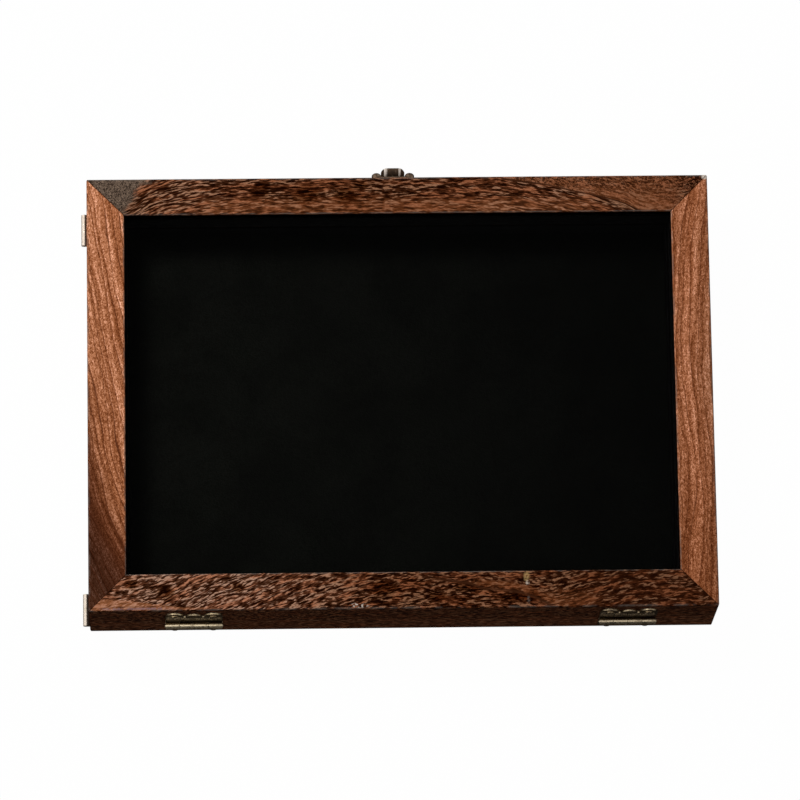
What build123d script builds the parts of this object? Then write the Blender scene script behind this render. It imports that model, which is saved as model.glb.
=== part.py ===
from build123d import *
import math
import os

# Insect display box: a mitred wooden case with a glazed lid on two hinges.
# Lengths are in millimetres. The origin is the centre of the back face, X runs
# along the box, Y towards the clasp side and Z towards the glass.

# Case
BOX_LENGTH = 300.0
BOX_WIDTH = 212.8
BASE_DEPTH = 23.2
LID_DEPTH = 23.0
LID_GAP = 0.3
MEMBER_WIDTH = 18.0
EDGE_ROUND = 0.8
WINDOW_ROUND = 1.0
CORNER_ROUND = 1.0

# Pane and the beads that hold it
GLASS_THICKNESS = 2.0
GLASS_LIP = 5.5
GLASS_REBATE = 6.0
GLASS_PLAY = 0.3
BEAD_ROUND = 0.6

# Back panel, pinning board and wall linings
PANEL_THICKNESS = 3.0
PANEL_REBATE = 8.0
PANEL_PLAY = 0.3
BOARD_THICKNESS = 8.0
BOARD_PLAY = 0.3
LINING_THICKNESS = 0.8

# Rectangular brads of the back panel and of the base's corners
BRAD_WIDTH = 1.3
BRAD_THICKNESS = 1.1
BRAD_SINK = 0.1
PANEL_BRAD_LENGTH = 9.0
PANEL_BRAD_INSET = 4.0
PANEL_BRAD_PITCH = 70.0
CORNER_BRAD_LENGTH = 18.0
CORNER_BRAD_INSET = 6.8
CORNER_BRAD_DROP = 3.2
DRILL_PLAY = 0.05

# Hinges
HINGE_LENGTH = 27.3
HINGE_LEFT_INSET = 50.0
HINGE_RIGHT_INSET = 42.4
HINGE_AXIS_OUT = 2.4
KNUCKLE_RADIUS = 2.0
KNUCKLE_COUNT = 4
KNUCKLE_GAP = 0.25
HINGE_PIN_RADIUS = 0.95
PIN_PLAY = 0.05
LEAF_THICKNESS = 0.9
LEAF_SHOULDER = 11.6
LOBE_RADIUS = 4.4
LOBE_HEIGHT = 13.8
MIDDLE_LOBE_RADIUS = 4.1
MIDDLE_LOBE_HEIGHT = 12.0
LEAF_EDGE = 0.25
KNUCKLE_CLEARANCE = 0.35

# Domed screws of the hinges
HINGE_SCREW_HEAD_RADIUS = 2.0
HINGE_SCREW_HEAD_HEIGHT = 1.1
HINGE_SCREW_RADIUS = 1.0
HINGE_SCREW_LENGTH = 8.0

# Clasp: catch plate on the lid, clasp plate and tongue on the base
CLASP_LEFT_OF_MIDDLE = 1.9
CLASP_PLATE_THICKNESS = 1.0
CLASP_BODY_WIDTH = 11.6
EAR_SPACING = 16.0
EAR_RADIUS = 2.4
CLASP_NOTCH_ROUND = 0.7
CATCH_EAR_DROP = 4.4
CATCH_END_RISE = 6.6
CLASP_EAR_RISE = 6.6
CLASP_SCREW_HEAD_RADIUS = 2.1
CLASP_SCREW_HEAD_HEIGHT = 2.1
CLASP_SCREW_RADIUS = 1.0
CLASP_SCREW_LENGTH = 8.0
CLASP_AXIS_OUT = 2.5
CLASP_AXIS_DROP = 2.2
CLASP_KNUCKLE_RADIUS = 1.9
CLASP_PIN_RADIUS = 0.8
TONGUE_WIDTH = 11.4
TONGUE_THICKNESS = 1.1
TONGUE_NECK_WIDTH = 6.0
TONGUE_STRAIGHT = 14.5
TONGUE_CURL_RADIUS = 6.0
TONGUE_CURL_ANGLE = 65.0
TONGUE_CORNER = 3.0
SLOT_CLEARANCE = 0.6
NUB_WIDTH = 4.0
NUB_HEIGHT = 3.0
NUB_REACH = 4.6
NUB_NECK = 0.35
NUB_ROUND = 0.8
NUB_FROM_AXIS = 12.7

# Hanger plates let into the back of the left stile, with a rolled eye
HANGER_WIDTH = 15.4
HANGER_THICKNESS = 0.8
HANGER_MARGIN = 0.6
HANGER_EYE_BORE = 0.8
HANGER_EYE_GAP = 0.15
HANGER_UPPER_INSET = 13.4
HANGER_LOWER_INSET = 10.0
HANGER_PLAY = 0.1
HANGER_SEAM = 0.2
HANGER_SCREW_SPACING = 6.6
HANGER_SCREW_INSET = 4.2
HANGER_SCREW_HEAD_RADIUS = 1.9
HANGER_SCREW_HEAD_HEIGHT = 0.7
HANGER_SCREW_SINK = 0.1
HANGER_SCREW_RADIUS = 0.9
HANGER_SCREW_LENGTH = 9.0

# How far a cutting block runs past what it cuts
CUT_PAST = 2.0

# Disc that finds the inward corners of an outline, and the share of it inside
PROBE_RADIUS = 0.1
PROBE_SHARE = 0.6

# Sizes that follow from the ones above
LID_BOTTOM = BASE_DEPTH + LID_GAP
BOX_DEPTH = LID_BOTTOM + LID_DEPTH
GLASS_TOP = BOX_DEPTH - GLASS_LIP
GLASS_BOTTOM = GLASS_TOP - GLASS_THICKNESS
HINGE_AXIS_HEIGHT = BASE_DEPTH + LID_GAP / 2
CLASP_AXIS_HEIGHT = BASE_DEPTH - CLASP_AXIS_DROP
WALL_WIDTH = MEMBER_WIDTH - GLASS_REBATE
HANGER_LENGTH = MEMBER_WIDTH - PANEL_REBATE - HANGER_MARGIN

# Each side's turn about Z from the hinge side, and whether it runs along X
SIDES = {
    "hinge_side": (0, True),
    "right": (90, False),
    "clasp_side": (180, True),
    "left": (-90, False),
}

# Flats around a screw's shank and around its head
SHANK_SIDES = 8
HEAD_SIDES = 16

# Levels of a low and of a tall screw head, as shares of its radius and height
LOW_HEAD = ((1.0, 0.0), (0.55, 1.0))
TALL_HEAD = ((1.0, 0.0), (0.93, 0.6), (0.55, 1.0))

# A block or cylinder that stands on its own origin
STANDING = (Align.CENTER, Align.CENTER, Align.MIN)

# Wall frames: x along the wall, y up and z outward
HINGE_WALL = Plane((0, -BOX_WIDTH / 2, 0), x_dir=(1, 0, 0), z_dir=(0, -1, 0))
CLASP_WALL = Plane(
    (-CLASP_LEFT_OF_MIDDLE, BOX_WIDTH / 2, 0), x_dir=(-1, 0, 0), z_dir=(0, 1, 0)
)

# Section of a wall frame: x outward and y up, extruded along the wall
WALL_SECTION = Plane((0, 0, 0), x_dir=(0, 0, 1), z_dir=(-1, 0, 0))


def save(name, *solids):
    """Write one node as a STEP file."""
    shapes = [solid for item in solids for solid in item.solids()]
    shape = shapes[0] if len(shapes) == 1 else Compound(children=shapes)
    export_step(shape, f"parts/{name}.step")


def rounded_outline(points, rounds):
    """Closed outline whose corners in rounds, by place in the list, are filleted."""
    face = make_face(Polyline(*points, close=True))
    for index, radius in rounds.items():
        corner = face.vertices().sort_by_distance(Vector(*points[index]))[0]
        face = fillet(corner, radius)
    return face


def ring_member(side, section):
    """One mitred member of a ring around the case. The section's x is the distance
    in from the case's outer face and its y the height above the back."""
    turn, along_x = SIDES[side]
    run = BOX_LENGTH if along_x else BOX_WIDTH
    across = BOX_WIDTH if along_x else BOX_LENGTH
    bar = extrude(Plane.YZ * Pos(-across / 2, 0, 0) * section, amount=run / 2, both=True)
    reach = section.bounding_box().max.X
    plan = make_face(
        Polyline(
            (-run / 2, -across / 2),
            (run / 2, -across / 2),
            (run / 2 - reach, -across / 2 + reach),
            (-run / 2 + reach, -across / 2 + reach),
            close=True,
        )
    )
    plan = plan & RectangleRounded(run, across, CORNER_ROUND)
    return Rot(0, 0, turn) * (bar & extrude(plan, amount=BOX_DEPTH))


def ring(section):
    """All four mitred members with one section, by side."""
    return {side: ring_member(side, section) for side in SIDES}


def shank(radius, length, play=0.0):
    """Screw shank along -Z with flats around it, or the hole for one."""
    section = RegularPolygon(radius + play, SHANK_SIDES)
    return extrude(section, amount=-(length + play))


def tapered(sides, start, end):
    """Solid with flats around Z from a start up to an end, each a radius and a height."""
    rise = end[1] - start[1]
    lean = (start[0] - end[0]) * math.cos(math.pi / sides) / rise
    section = Pos(0, 0, start[1]) * RegularPolygon(start[0], sides)
    return extrude(section, amount=rise, taper=math.degrees(math.atan(lean)))


def domed_screw(head_radius, head_height, profile, radius, length):
    """Screw along -Z whose head seats at Z = 0."""
    levels = [(head_radius * wide, head_height * high) for wide, high in profile]
    screw = shank(radius, length)
    for start, end in zip(levels, levels[1:]):
        screw += tapered(HEAD_SIDES, start, end)
    return screw


def countersunk_head(head_radius, head_height, radius, play=0.0, above=0.0):
    """Tapered head along -Z from a flat top at Z = 0. Above carries it on upward, for
    the pocket of a sunk head."""
    flare = above * (head_radius - radius) / head_height
    wide = (head_radius + flare + play, -above)
    return Rot(180, 0, 0) * tapered(SHANK_SIDES, wide, (radius + play, head_height))


def pin(radius, length):
    """Plain pin along X, centred on the origin."""
    return Rot(0, 90, 0) * Cylinder(radius, length)


def wall_bar(section, start, end):
    """Bar along a wall frame's x from start to end, with its section given as
    distance out and height."""
    bar = extrude(WALL_SECTION * section, amount=(end - start) / 2, both=True)
    return Pos((start + end) / 2, 0, 0) * bar


def concave_corners(face):
    """Corners of a flat outline around which a small disc lies mostly inside."""
    disc = Circle(PROBE_RADIUS)
    return [
        corner
        for corner in face.vertices()
        if (face & (Pos(corner.X, corner.Y) * disc)).area > PROBE_SHARE * disc.area
    ]


# Wooden frames


def lid_section():
    """Lid member: an outer wall, and a lip in front of the pane."""
    points = [
        (0, LID_BOTTOM),
        (0, BOX_DEPTH),
        (MEMBER_WIDTH, BOX_DEPTH),
        (MEMBER_WIDTH, GLASS_TOP),
        (WALL_WIDTH, GLASS_TOP),
        (WALL_WIDTH, LID_BOTTOM),
    ]
    return rounded_outline(points, {1: EDGE_ROUND, 2: WINDOW_ROUND})


def base_section():
    """Base member with a rebate at its back for the panel."""
    points = [
        (0, 0),
        (0, BASE_DEPTH),
        (MEMBER_WIDTH, BASE_DEPTH),
        (MEMBER_WIDTH, PANEL_THICKNESS),
        (MEMBER_WIDTH - PANEL_REBATE, PANEL_THICKNESS),
        (MEMBER_WIDTH - PANEL_REBATE, 0),
    ]
    return rounded_outline(points, {0: EDGE_ROUND})


def bead_section():
    """Bead between the pane and the lid's rim, flush with the window's edge."""
    points = [
        (WALL_WIDTH, LID_BOTTOM),
        (WALL_WIDTH, GLASS_BOTTOM),
        (MEMBER_WIDTH, GLASS_BOTTOM),
        (MEMBER_WIDTH, LID_BOTTOM),
    ]
    return rounded_outline(points, {3: BEAD_ROUND})


def lining_section():
    """Card lining on the base's inner wall, standing on the back panel."""
    points = [
        (MEMBER_WIDTH, PANEL_THICKNESS),
        (MEMBER_WIDTH, BASE_DEPTH),
        (MEMBER_WIDTH + LINING_THICKNESS, BASE_DEPTH),
        (MEMBER_WIDTH + LINING_THICKNESS, PANEL_THICKNESS),
    ]
    return rounded_outline(points, {})


def slab(inset, low, high):
    """Flat board whose edges lie the inset in from the case's outer faces."""
    board = Rectangle(BOX_LENGTH - 2 * inset, BOX_WIDTH - 2 * inset)
    return Pos(0, 0, low) * extrude(board, amount=high - low)


# Brads


def brad(length):
    """Brad along +Z with its wide side along X, its end sunk below Z = 0."""
    body = Box(BRAD_WIDTH, BRAD_THICKNESS, length - BRAD_SINK, align=STANDING)
    return Pos(0, 0, BRAD_SINK) * body


def brad_hole(length):
    """Hole for a brad, open at Z = 0."""
    return Box(
        BRAD_WIDTH + 2 * DRILL_PLAY,
        BRAD_THICKNESS + 2 * DRILL_PLAY,
        length + DRILL_PLAY,
        align=STANDING,
    )


def panel_brad_places():
    """Places of the panel's brads, evenly spaced along each side of its rebate."""
    inset = MEMBER_WIDTH - PANEL_BRAD_INSET
    places = []
    for turn, along_x in SIDES.values():
        run = (BOX_LENGTH if along_x else BOX_WIDTH) - 2 * inset
        across = BOX_WIDTH if along_x else BOX_LENGTH
        count = max(1, int(run / PANEL_BRAD_PITCH))
        for step in range(count):
            along = run * ((step + 0.5) / count - 0.5)
            places.append(Rot(0, 0, turn) * Pos(along, inset - across / 2, 0))
    return places


def corner_brad_places():
    """Places of one brad in each base member's outer face, near its first corner."""
    height = BASE_DEPTH - CORNER_BRAD_DROP
    places = []
    for turn, along_x in SIDES.values():
        run = BOX_LENGTH if along_x else BOX_WIDTH
        across = BOX_WIDTH if along_x else BOX_LENGTH
        place = Pos(CORNER_BRAD_INSET - run / 2, -across / 2, height)
        places.append(Rot(0, 0, turn) * place * Rot(-90, 0, 0))
    return places


# Hinges


def leaf_outline():
    """Scalloped leaf seen square on, its foot at the joint between the frames."""
    foot = LID_GAP / 2
    lobe_place = HINGE_LENGTH / 2 - LOBE_RADIUS
    shoulder = Rectangle(
        HINGE_LENGTH,
        LEAF_SHOULDER - foot,
        align=(Align.CENTER, Align.MIN),
    )
    face = Pos(0, foot) * shoulder
    for side, outer in ((-1, Align.MAX), (1, Align.MIN)):
        cheek = Rectangle(LOBE_RADIUS, LOBE_HEIGHT - foot, align=(outer, Align.MIN))
        face += Pos(side * lobe_place, foot) * cheek
        face += Pos(side * lobe_place, LOBE_HEIGHT) * Circle(LOBE_RADIUS)
    return face + Pos(0, MIDDLE_LOBE_HEIGHT) * Circle(MIDDLE_LOBE_RADIUS)


def knuckle_spans(own):
    """Starts and ends of every other knuckle; own is 0 or 1 for the first."""
    pitch = HINGE_LENGTH / KNUCKLE_COUNT
    spans = []
    for index in range(own, KNUCKLE_COUNT, 2):
        start = -HINGE_LENGTH / 2 + index * pitch
        first = index == 0
        last = index == KNUCKLE_COUNT - 1
        low = start if first else start + KNUCKLE_GAP / 2
        high = start + pitch if last else start + pitch - KNUCKLE_GAP / 2
        spans.append((low, high))
    return spans


def hinge_leaf(own):
    """Leaf above the hinge's axis, in a wall frame whose origin is on the wall at
    the axis height. It carries its own knuckles and is notched for the others."""
    plate = extrude(leaf_outline(), amount=LEAF_THICKNESS)
    rim = plate.faces().sort_by(Axis.Z)[-1].edges()
    plate = chamfer(rim, LEAF_EDGE)
    notch_height = KNUCKLE_RADIUS + KNUCKLE_CLEARANCE
    for low, high in knuckle_spans(1 - own):
        notch = Box(high - low + 2 * KNUCKLE_GAP, 2 * notch_height, 2 * CUT_PAST)
        plate -= Pos((low + high) / 2, 0, 0) * notch
    barrel = Pos(HINGE_AXIS_OUT, 0) * Circle(KNUCKLE_RADIUS)
    bore = Pos(HINGE_AXIS_OUT, 0) * Circle(HINGE_PIN_RADIUS + PIN_PLAY)
    for low, high in knuckle_spans(own):
        plate += wall_bar(barrel, low, high)
    return plate - wall_bar(bore, -HINGE_LENGTH, HINGE_LENGTH)


def at_lobes(shape):
    """The shape on each of one leaf's two screw places, above the axis."""
    place = HINGE_LENGTH / 2 - LOBE_RADIUS
    return [Pos(side * place, LOBE_HEIGHT, LEAF_THICKNESS) * shape for side in (-1, 1)]


def hinge_screws():
    """The two screws of one leaf."""
    screw = domed_screw(
        HINGE_SCREW_HEAD_RADIUS,
        HINGE_SCREW_HEAD_HEIGHT,
        LOW_HEAD,
        HINGE_SCREW_RADIUS,
        HINGE_SCREW_LENGTH + LEAF_THICKNESS,
    )
    return at_lobes(screw)


def hinge_screw_holes():
    """Holes for the two screws of one leaf."""
    return at_lobes(shank(HINGE_SCREW_RADIUS, HINGE_SCREW_LENGTH + LEAF_THICKNESS, DRILL_PLAY))


def below_axis(shape):
    """The same shape turned over to the other side of the hinge's axis."""
    return mirror(shape, about=Plane.XZ)


def hinge_places():
    """Wall frames of the two hinges, with their origins at the axis height."""
    centres = {
        "left": -BOX_LENGTH / 2 + HINGE_LEFT_INSET,
        "right": BOX_LENGTH / 2 - HINGE_RIGHT_INSET,
    }
    return {
        name: HINGE_WALL * Pos(centre, HINGE_AXIS_HEIGHT, 0)
        for name, centre in centres.items()
    }


# Clasp


def eared_outline(ear_height, end_height, foot_height):
    """Outline of a clasp plate: two ears for screws, a body between them and the
    foot, and a round end about end_height."""
    low, high = sorted((ear_height, foot_height))
    body = Pos(0, (low + high) / 2) * Rectangle(CLASP_BODY_WIDTH, high - low)
    face = body + Pos(0, end_height) * Circle(CLASP_BODY_WIDTH / 2)
    face += Pos(0, ear_height) * SlotOverall(EAR_SPACING + 2 * EAR_RADIUS, 2 * EAR_RADIUS)
    return fillet(concave_corners(face), CLASP_NOTCH_ROUND)


def at_ears(shape, height):
    """The shape on each of a plate's two ears at a height."""
    return [
        Pos(side * EAR_SPACING / 2, height, CLASP_PLATE_THICKNESS) * shape for side in (-1, 1)
    ]


def clasp_screws(height):
    """The two screws in a plate's ears at a height."""
    screw = domed_screw(
        CLASP_SCREW_HEAD_RADIUS,
        CLASP_SCREW_HEAD_HEIGHT,
        TALL_HEAD,
        CLASP_SCREW_RADIUS,
        CLASP_SCREW_LENGTH + CLASP_PLATE_THICKNESS,
    )
    return at_ears(screw, height)


def clasp_screw_holes(height):
    """Holes for the two screws at a height."""
    depth = CLASP_SCREW_LENGTH + CLASP_PLATE_THICKNESS
    return at_ears(shank(CLASP_SCREW_RADIUS, depth, DRILL_PLAY), height)


def nub_outline():
    """Side view of the catch nub: a waisted stem with a rounded head."""
    half = NUB_HEIGHT / 2
    waist = half - NUB_NECK
    neck_end = CLASP_AXIS_OUT + TONGUE_THICKNESS / 2 + NUB_NECK
    points = [
        (CLASP_PLATE_THICKNESS / 2, -waist),
        (neck_end - NUB_NECK, -waist),
        (neck_end, -half),
        (NUB_REACH, -half),
        (NUB_REACH, half),
        (neck_end, half),
        (neck_end - NUB_NECK, waist),
        (CLASP_PLATE_THICKNESS / 2, waist),
    ]
    return rounded_outline(points, {3: NUB_ROUND, 4: NUB_ROUND})


def catch_plate():
    """Catch on the lid with its nub."""
    ear_height = BOX_DEPTH - CATCH_EAR_DROP
    end_height = LID_BOTTOM + CATCH_END_RISE
    outline = eared_outline(ear_height, end_height, end_height)
    plate = extrude(outline, amount=CLASP_PLATE_THICKNESS)
    plate = chamfer(plate.faces().sort_by(Axis.Z)[-1].edges(), LEAF_EDGE)
    nub = wall_bar(nub_outline(), -NUB_WIDTH / 2, NUB_WIDTH / 2)
    return plate + Pos(0, CLASP_AXIS_HEIGHT + NUB_FROM_AXIS, 0) * nub


def clasp_plate():
    """Plate on the base, its upper edge rolled into two knuckles."""
    outline = eared_outline(CLASP_EAR_RISE, CLASP_EAR_RISE, CLASP_AXIS_HEIGHT)
    plate = extrude(outline, amount=CLASP_PLATE_THICKNESS)
    plate = chamfer(plate.faces().sort_by(Axis.Z)[-1].edges(), LEAF_EDGE)
    reach = CLASP_KNUCKLE_RADIUS + KNUCKLE_CLEARANCE
    middle = Box(TONGUE_NECK_WIDTH + 2 * KNUCKLE_GAP, 2 * reach, 2 * CUT_PAST)
    plate -= Pos(0, CLASP_AXIS_HEIGHT, 0) * middle
    at_axis = Pos(CLASP_AXIS_OUT, CLASP_AXIS_HEIGHT)
    barrel = at_axis * Circle(CLASP_KNUCKLE_RADIUS)
    inner = TONGUE_NECK_WIDTH / 2 + KNUCKLE_GAP
    plate += wall_bar(barrel, inner, TONGUE_WIDTH / 2)
    plate += wall_bar(barrel, -TONGUE_WIDTH / 2, -inner)
    bore = at_axis * Circle(CLASP_PIN_RADIUS + PIN_PLAY)
    return plate - wall_bar(bore, -TONGUE_WIDTH, TONGUE_WIDTH)


def strap_outline(start):
    """Side view of the tongue's strap from a height, curled outward at its end."""
    half = TONGUE_THICKNESS / 2
    bend = CLASP_AXIS_HEIGHT + TONGUE_STRAIGHT
    centre = (CLASP_AXIS_OUT + TONGUE_CURL_RADIUS, bend)
    back = CenterArc(centre, TONGUE_CURL_RADIUS + half, 180, -TONGUE_CURL_ANGLE)
    front = CenterArc(centre, TONGUE_CURL_RADIUS - half, 180, -TONGUE_CURL_ANGLE)
    foot = Polyline(
        back @ 0,
        (CLASP_AXIS_OUT - half, start),
        (CLASP_AXIS_OUT + half, start),
        front @ 0,
    )
    return make_face(back + foot + front + Line(back @ 1, front @ 1))


def tongue():
    """Tongue of the clasp with its knuckle, its slot for the nub and its lip."""
    full_start = CLASP_AXIS_HEIGHT + CLASP_KNUCKLE_RADIUS + KNUCKLE_CLEARANCE
    half = TONGUE_WIDTH / 2
    neck = TONGUE_NECK_WIDTH / 2
    strap = wall_bar(strap_outline(full_start), -half, half)
    tip = Vector(0, BOX_DEPTH, CLASP_AXIS_OUT + TONGUE_CURL_RADIUS)
    end_face = strap.faces().filter_by(GeomType.PLANE).sort_by_distance(tip)[0]
    strap = fillet(end_face.edges().sort_by(SortBy.LENGTH)[:2], TONGUE_CORNER)
    at_axis = Pos(CLASP_AXIS_OUT, CLASP_AXIS_HEIGHT)
    barrel = at_axis * Circle(CLASP_KNUCKLE_RADIUS)
    bore = at_axis * Circle(CLASP_PIN_RADIUS + PIN_PLAY)
    strap += wall_bar(strap_outline(CLASP_AXIS_HEIGHT), -neck, neck)
    strap += wall_bar(barrel, -neck, neck)
    strap -= wall_bar(bore, -half, half)
    slot = Box(
        NUB_WIDTH + 2 * SLOT_CLEARANCE,
        NUB_HEIGHT + 2 * SLOT_CLEARANCE,
        2 * CUT_PAST,
    )
    return strap - Pos(0, CLASP_AXIS_HEIGHT + NUB_FROM_AXIS, CLASP_AXIS_OUT) * slot


# Hangers


def hanger():
    """Hanger plate along +X from the left face, centred on Y = 0, its back at
    Z = 0 and its outer end rolled into an eye."""
    eye_radius = HANGER_EYE_BORE + HANGER_THICKNESS
    eye_x = -HANGER_EYE_GAP - eye_radius
    strip = make_face(
        Polyline(
            (eye_x, 0),
            (HANGER_LENGTH, 0),
            (HANGER_LENGTH, HANGER_THICKNESS),
            (eye_x, HANGER_THICKNESS),
            close=True,
        )
    )
    eye = Pos(eye_x, eye_radius) * (Circle(eye_radius) - Circle(HANGER_EYE_BORE))
    seam = Pos(eye_x, HANGER_THICKNESS) * Rectangle(
        2 * eye_radius, HANGER_SEAM, align=(Align.MIN, Align.MIN)
    )
    outline = (strip + eye) - (seam - Pos(eye_x, eye_radius) * Circle(HANGER_EYE_BORE))
    return extrude(Plane.XZ * outline, amount=HANGER_WIDTH / 2, both=True)


def at_hanger_holes(shape):
    """The shape, turned to stand in from the back, on one hanger's screw places."""
    half = HANGER_SCREW_SPACING / 2
    return [
        Pos(HANGER_SCREW_INSET, side * half, HANGER_SCREW_SINK) * Rot(180, 0, 0) * shape
        for side in (-1, 1)
    ]


def hanger_screws():
    """The two screws of one hanger, their heads just below the back."""
    head = countersunk_head(
        HANGER_SCREW_HEAD_RADIUS, HANGER_SCREW_HEAD_HEIGHT, HANGER_SCREW_RADIUS
    )
    return at_hanger_holes(head + shank(HANGER_SCREW_RADIUS, HANGER_SCREW_LENGTH))


def hanger_pockets():
    """Pockets for the heads of one hanger's screws, open at the back."""
    pocket = countersunk_head(
        HANGER_SCREW_HEAD_RADIUS,
        HANGER_SCREW_HEAD_HEIGHT,
        HANGER_SCREW_RADIUS,
        DRILL_PLAY,
        HANGER_SCREW_SINK,
    )
    return at_hanger_holes(pocket)


def hanger_screw_holes():
    """Holes in the wood for the shanks of one hanger's screws."""
    return at_hanger_holes(shank(HANGER_SCREW_RADIUS, HANGER_SCREW_LENGTH, DRILL_PLAY))


def hanger_recess():
    """Shallow recess in the stile for one hanger plate."""
    pocket = Box(
        HANGER_LENGTH + HANGER_PLAY + CUT_PAST,
        HANGER_WIDTH + 2 * HANGER_PLAY,
        2 * HANGER_THICKNESS,
        align=(Align.MIN, Align.CENTER, Align.CENTER),
    )
    return Pos(-CUT_PAST, 0, 0) * pocket


def hanger_places():
    """Where each hanger's local origin lies on the left face's back edge."""
    return {
        "upper": Pos(-BOX_LENGTH / 2, BOX_WIDTH / 2 - HANGER_UPPER_INSET, 0),
        "lower": Pos(-BOX_LENGTH / 2, -BOX_WIDTH / 2 + HANGER_LOWER_INSET, 0),
    }


def cut_all(solid, tools):
    """A solid with holes for a list of fasteners."""
    for tool in tools:
        solid -= tool
    return solid


def build_base():
    """Base frame, panel, board and linings, with every hole they need."""
    members = ring(base_section())
    hinges = hinge_places().values()
    leaf_holes = [
        place * below_axis(hole)
        for place in hinges
        for hole in hinge_screw_holes()
    ]
    clasp_holes = [CLASP_WALL * hole for hole in clasp_screw_holes(CLASP_EAR_RISE)]
    hanger_holes = [
        place * tool
        for place in hanger_places().values()
        for tool in (hanger_recess(), *hanger_screw_holes())
    ]
    panel_brads = [place * brad(PANEL_BRAD_LENGTH) for place in panel_brad_places()]
    panel_holes = [place * brad_hole(PANEL_BRAD_LENGTH) for place in panel_brad_places()]
    corner_brads = [place * brad(CORNER_BRAD_LENGTH) for place in corner_brad_places()]
    corner_holes = [place * brad_hole(CORNER_BRAD_LENGTH) for place in corner_brad_places()]
    members["hinge_side"] = cut_all(members["hinge_side"], leaf_holes)
    members["clasp_side"] = cut_all(members["clasp_side"], clasp_holes)
    holes = hanger_holes + corner_holes + panel_holes
    for side, member in members.items():
        kind = "rail" if SIDES[side][1] else "stile"
        save(f"base_{kind}_{side}", cut_all(member, holes))
    panel = slab(MEMBER_WIDTH - PANEL_REBATE + PANEL_PLAY, 0, PANEL_THICKNESS)
    save("back_panel", cut_all(panel, panel_holes))
    save("back_panel_brads", *panel_brads)
    save("base_corner_brads", *corner_brads)
    board_inset = MEMBER_WIDTH + LINING_THICKNESS + BOARD_PLAY
    save("pinning_board", slab(board_inset, PANEL_THICKNESS, PANEL_THICKNESS + BOARD_THICKNESS))
    for side, lining in ring(lining_section()).items():
        save(f"wall_lining_{side}", lining)


def build_lid():
    """Lid frame, pane and beads."""
    members = ring(lid_section())
    leaf_holes = [
        place * hole
        for place in hinge_places().values()
        for hole in hinge_screw_holes()
    ]
    catch_holes = [
        CLASP_WALL * hole for hole in clasp_screw_holes(BOX_DEPTH - CATCH_EAR_DROP)
    ]
    members["hinge_side"] = cut_all(members["hinge_side"], leaf_holes)
    members["clasp_side"] = cut_all(members["clasp_side"], catch_holes)
    for side, member in members.items():
        kind = "rail" if SIDES[side][1] else "stile"
        save(f"lid_{kind}_{side}", member)
    save("glass_pane", slab(WALL_WIDTH + GLASS_PLAY, GLASS_BOTTOM, GLASS_TOP))
    for side, bead in ring(bead_section()).items():
        save(f"glass_bead_{side}", bead)


def build_hinges():
    """Both hinges: leaves, pins and screws."""
    holes = hinge_screw_holes()
    lid_leaf = cut_all(hinge_leaf(0), holes)
    base_leaf = below_axis(cut_all(hinge_leaf(1), holes))
    for name, place in hinge_places().items():
        save(f"hinge_{name}_lid_leaf", place * lid_leaf)
        save(f"hinge_{name}_base_leaf", place * base_leaf)
        hinge_pin = Pos(0, 0, HINGE_AXIS_OUT) * pin(HINGE_PIN_RADIUS, HINGE_LENGTH)
        save(f"hinge_{name}_pin", place * hinge_pin)
        save(f"hinge_{name}_lid_screws", *[place * screw for screw in hinge_screws()])
        lower = [place * below_axis(screw) for screw in hinge_screws()]
        save(f"hinge_{name}_base_screws", *lower)


def build_clasp():
    """Catch on the lid, and the clasp plate and tongue on the base."""
    catch_height = BOX_DEPTH - CATCH_EAR_DROP
    catch = cut_all(catch_plate(), clasp_screw_holes(catch_height))
    plate = cut_all(clasp_plate(), clasp_screw_holes(CLASP_EAR_RISE))
    save("clasp_catch_plate", CLASP_WALL * catch)
    save("clasp_catch_screws", *[CLASP_WALL * s for s in clasp_screws(catch_height)])
    save("clasp_plate", CLASP_WALL * plate)
    save("clasp_plate_screws", *[CLASP_WALL * s for s in clasp_screws(CLASP_EAR_RISE)])
    axle = Pos(0, CLASP_AXIS_HEIGHT, CLASP_AXIS_OUT) * pin(CLASP_PIN_RADIUS, TONGUE_WIDTH)
    save("clasp_pin", CLASP_WALL * axle)
    save("clasp_tongue", CLASP_WALL * tongue())


def build_hangers():
    """Both hangers and their screws."""
    plate = cut_all(hanger(), hanger_pockets())
    screws = []
    for name, place in hanger_places().items():
        save(f"hanger_{name}", place * plate)
        screws += [place * screw for screw in hanger_screws()]
    save("hanger_screws", *screws)


os.makedirs("parts", exist_ok=True)
build_base()
build_lid()
build_hinges()
build_clasp()
build_hangers()
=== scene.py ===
"""Looks of an insect display box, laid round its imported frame."""

import math
from functools import partial

import bmesh
import bpy
from bpy.props import FloatProperty, FloatVectorProperty, PointerProperty
from bpy.types import Operator, Panel, PropertyGroup
from mathutils import Matrix, Vector


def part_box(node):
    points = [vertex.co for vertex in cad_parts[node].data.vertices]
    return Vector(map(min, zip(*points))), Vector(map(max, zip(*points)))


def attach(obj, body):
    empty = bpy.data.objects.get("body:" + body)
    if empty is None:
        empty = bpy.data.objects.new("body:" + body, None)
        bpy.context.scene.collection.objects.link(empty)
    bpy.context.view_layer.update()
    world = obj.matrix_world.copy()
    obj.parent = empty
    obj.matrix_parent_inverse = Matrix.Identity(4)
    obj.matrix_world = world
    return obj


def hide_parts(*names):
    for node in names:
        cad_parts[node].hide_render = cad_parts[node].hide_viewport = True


bl_info = {
    "name": "Insect Display Box",
    "version": (1, 0, 0),
    "blender": (4, 5, 0),
    "location": "View3D > Sidebar > Display Box",
    "description": "Finishes, brass fittings and stage of an insect display box",
    "category": "Add Mesh",
}

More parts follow.
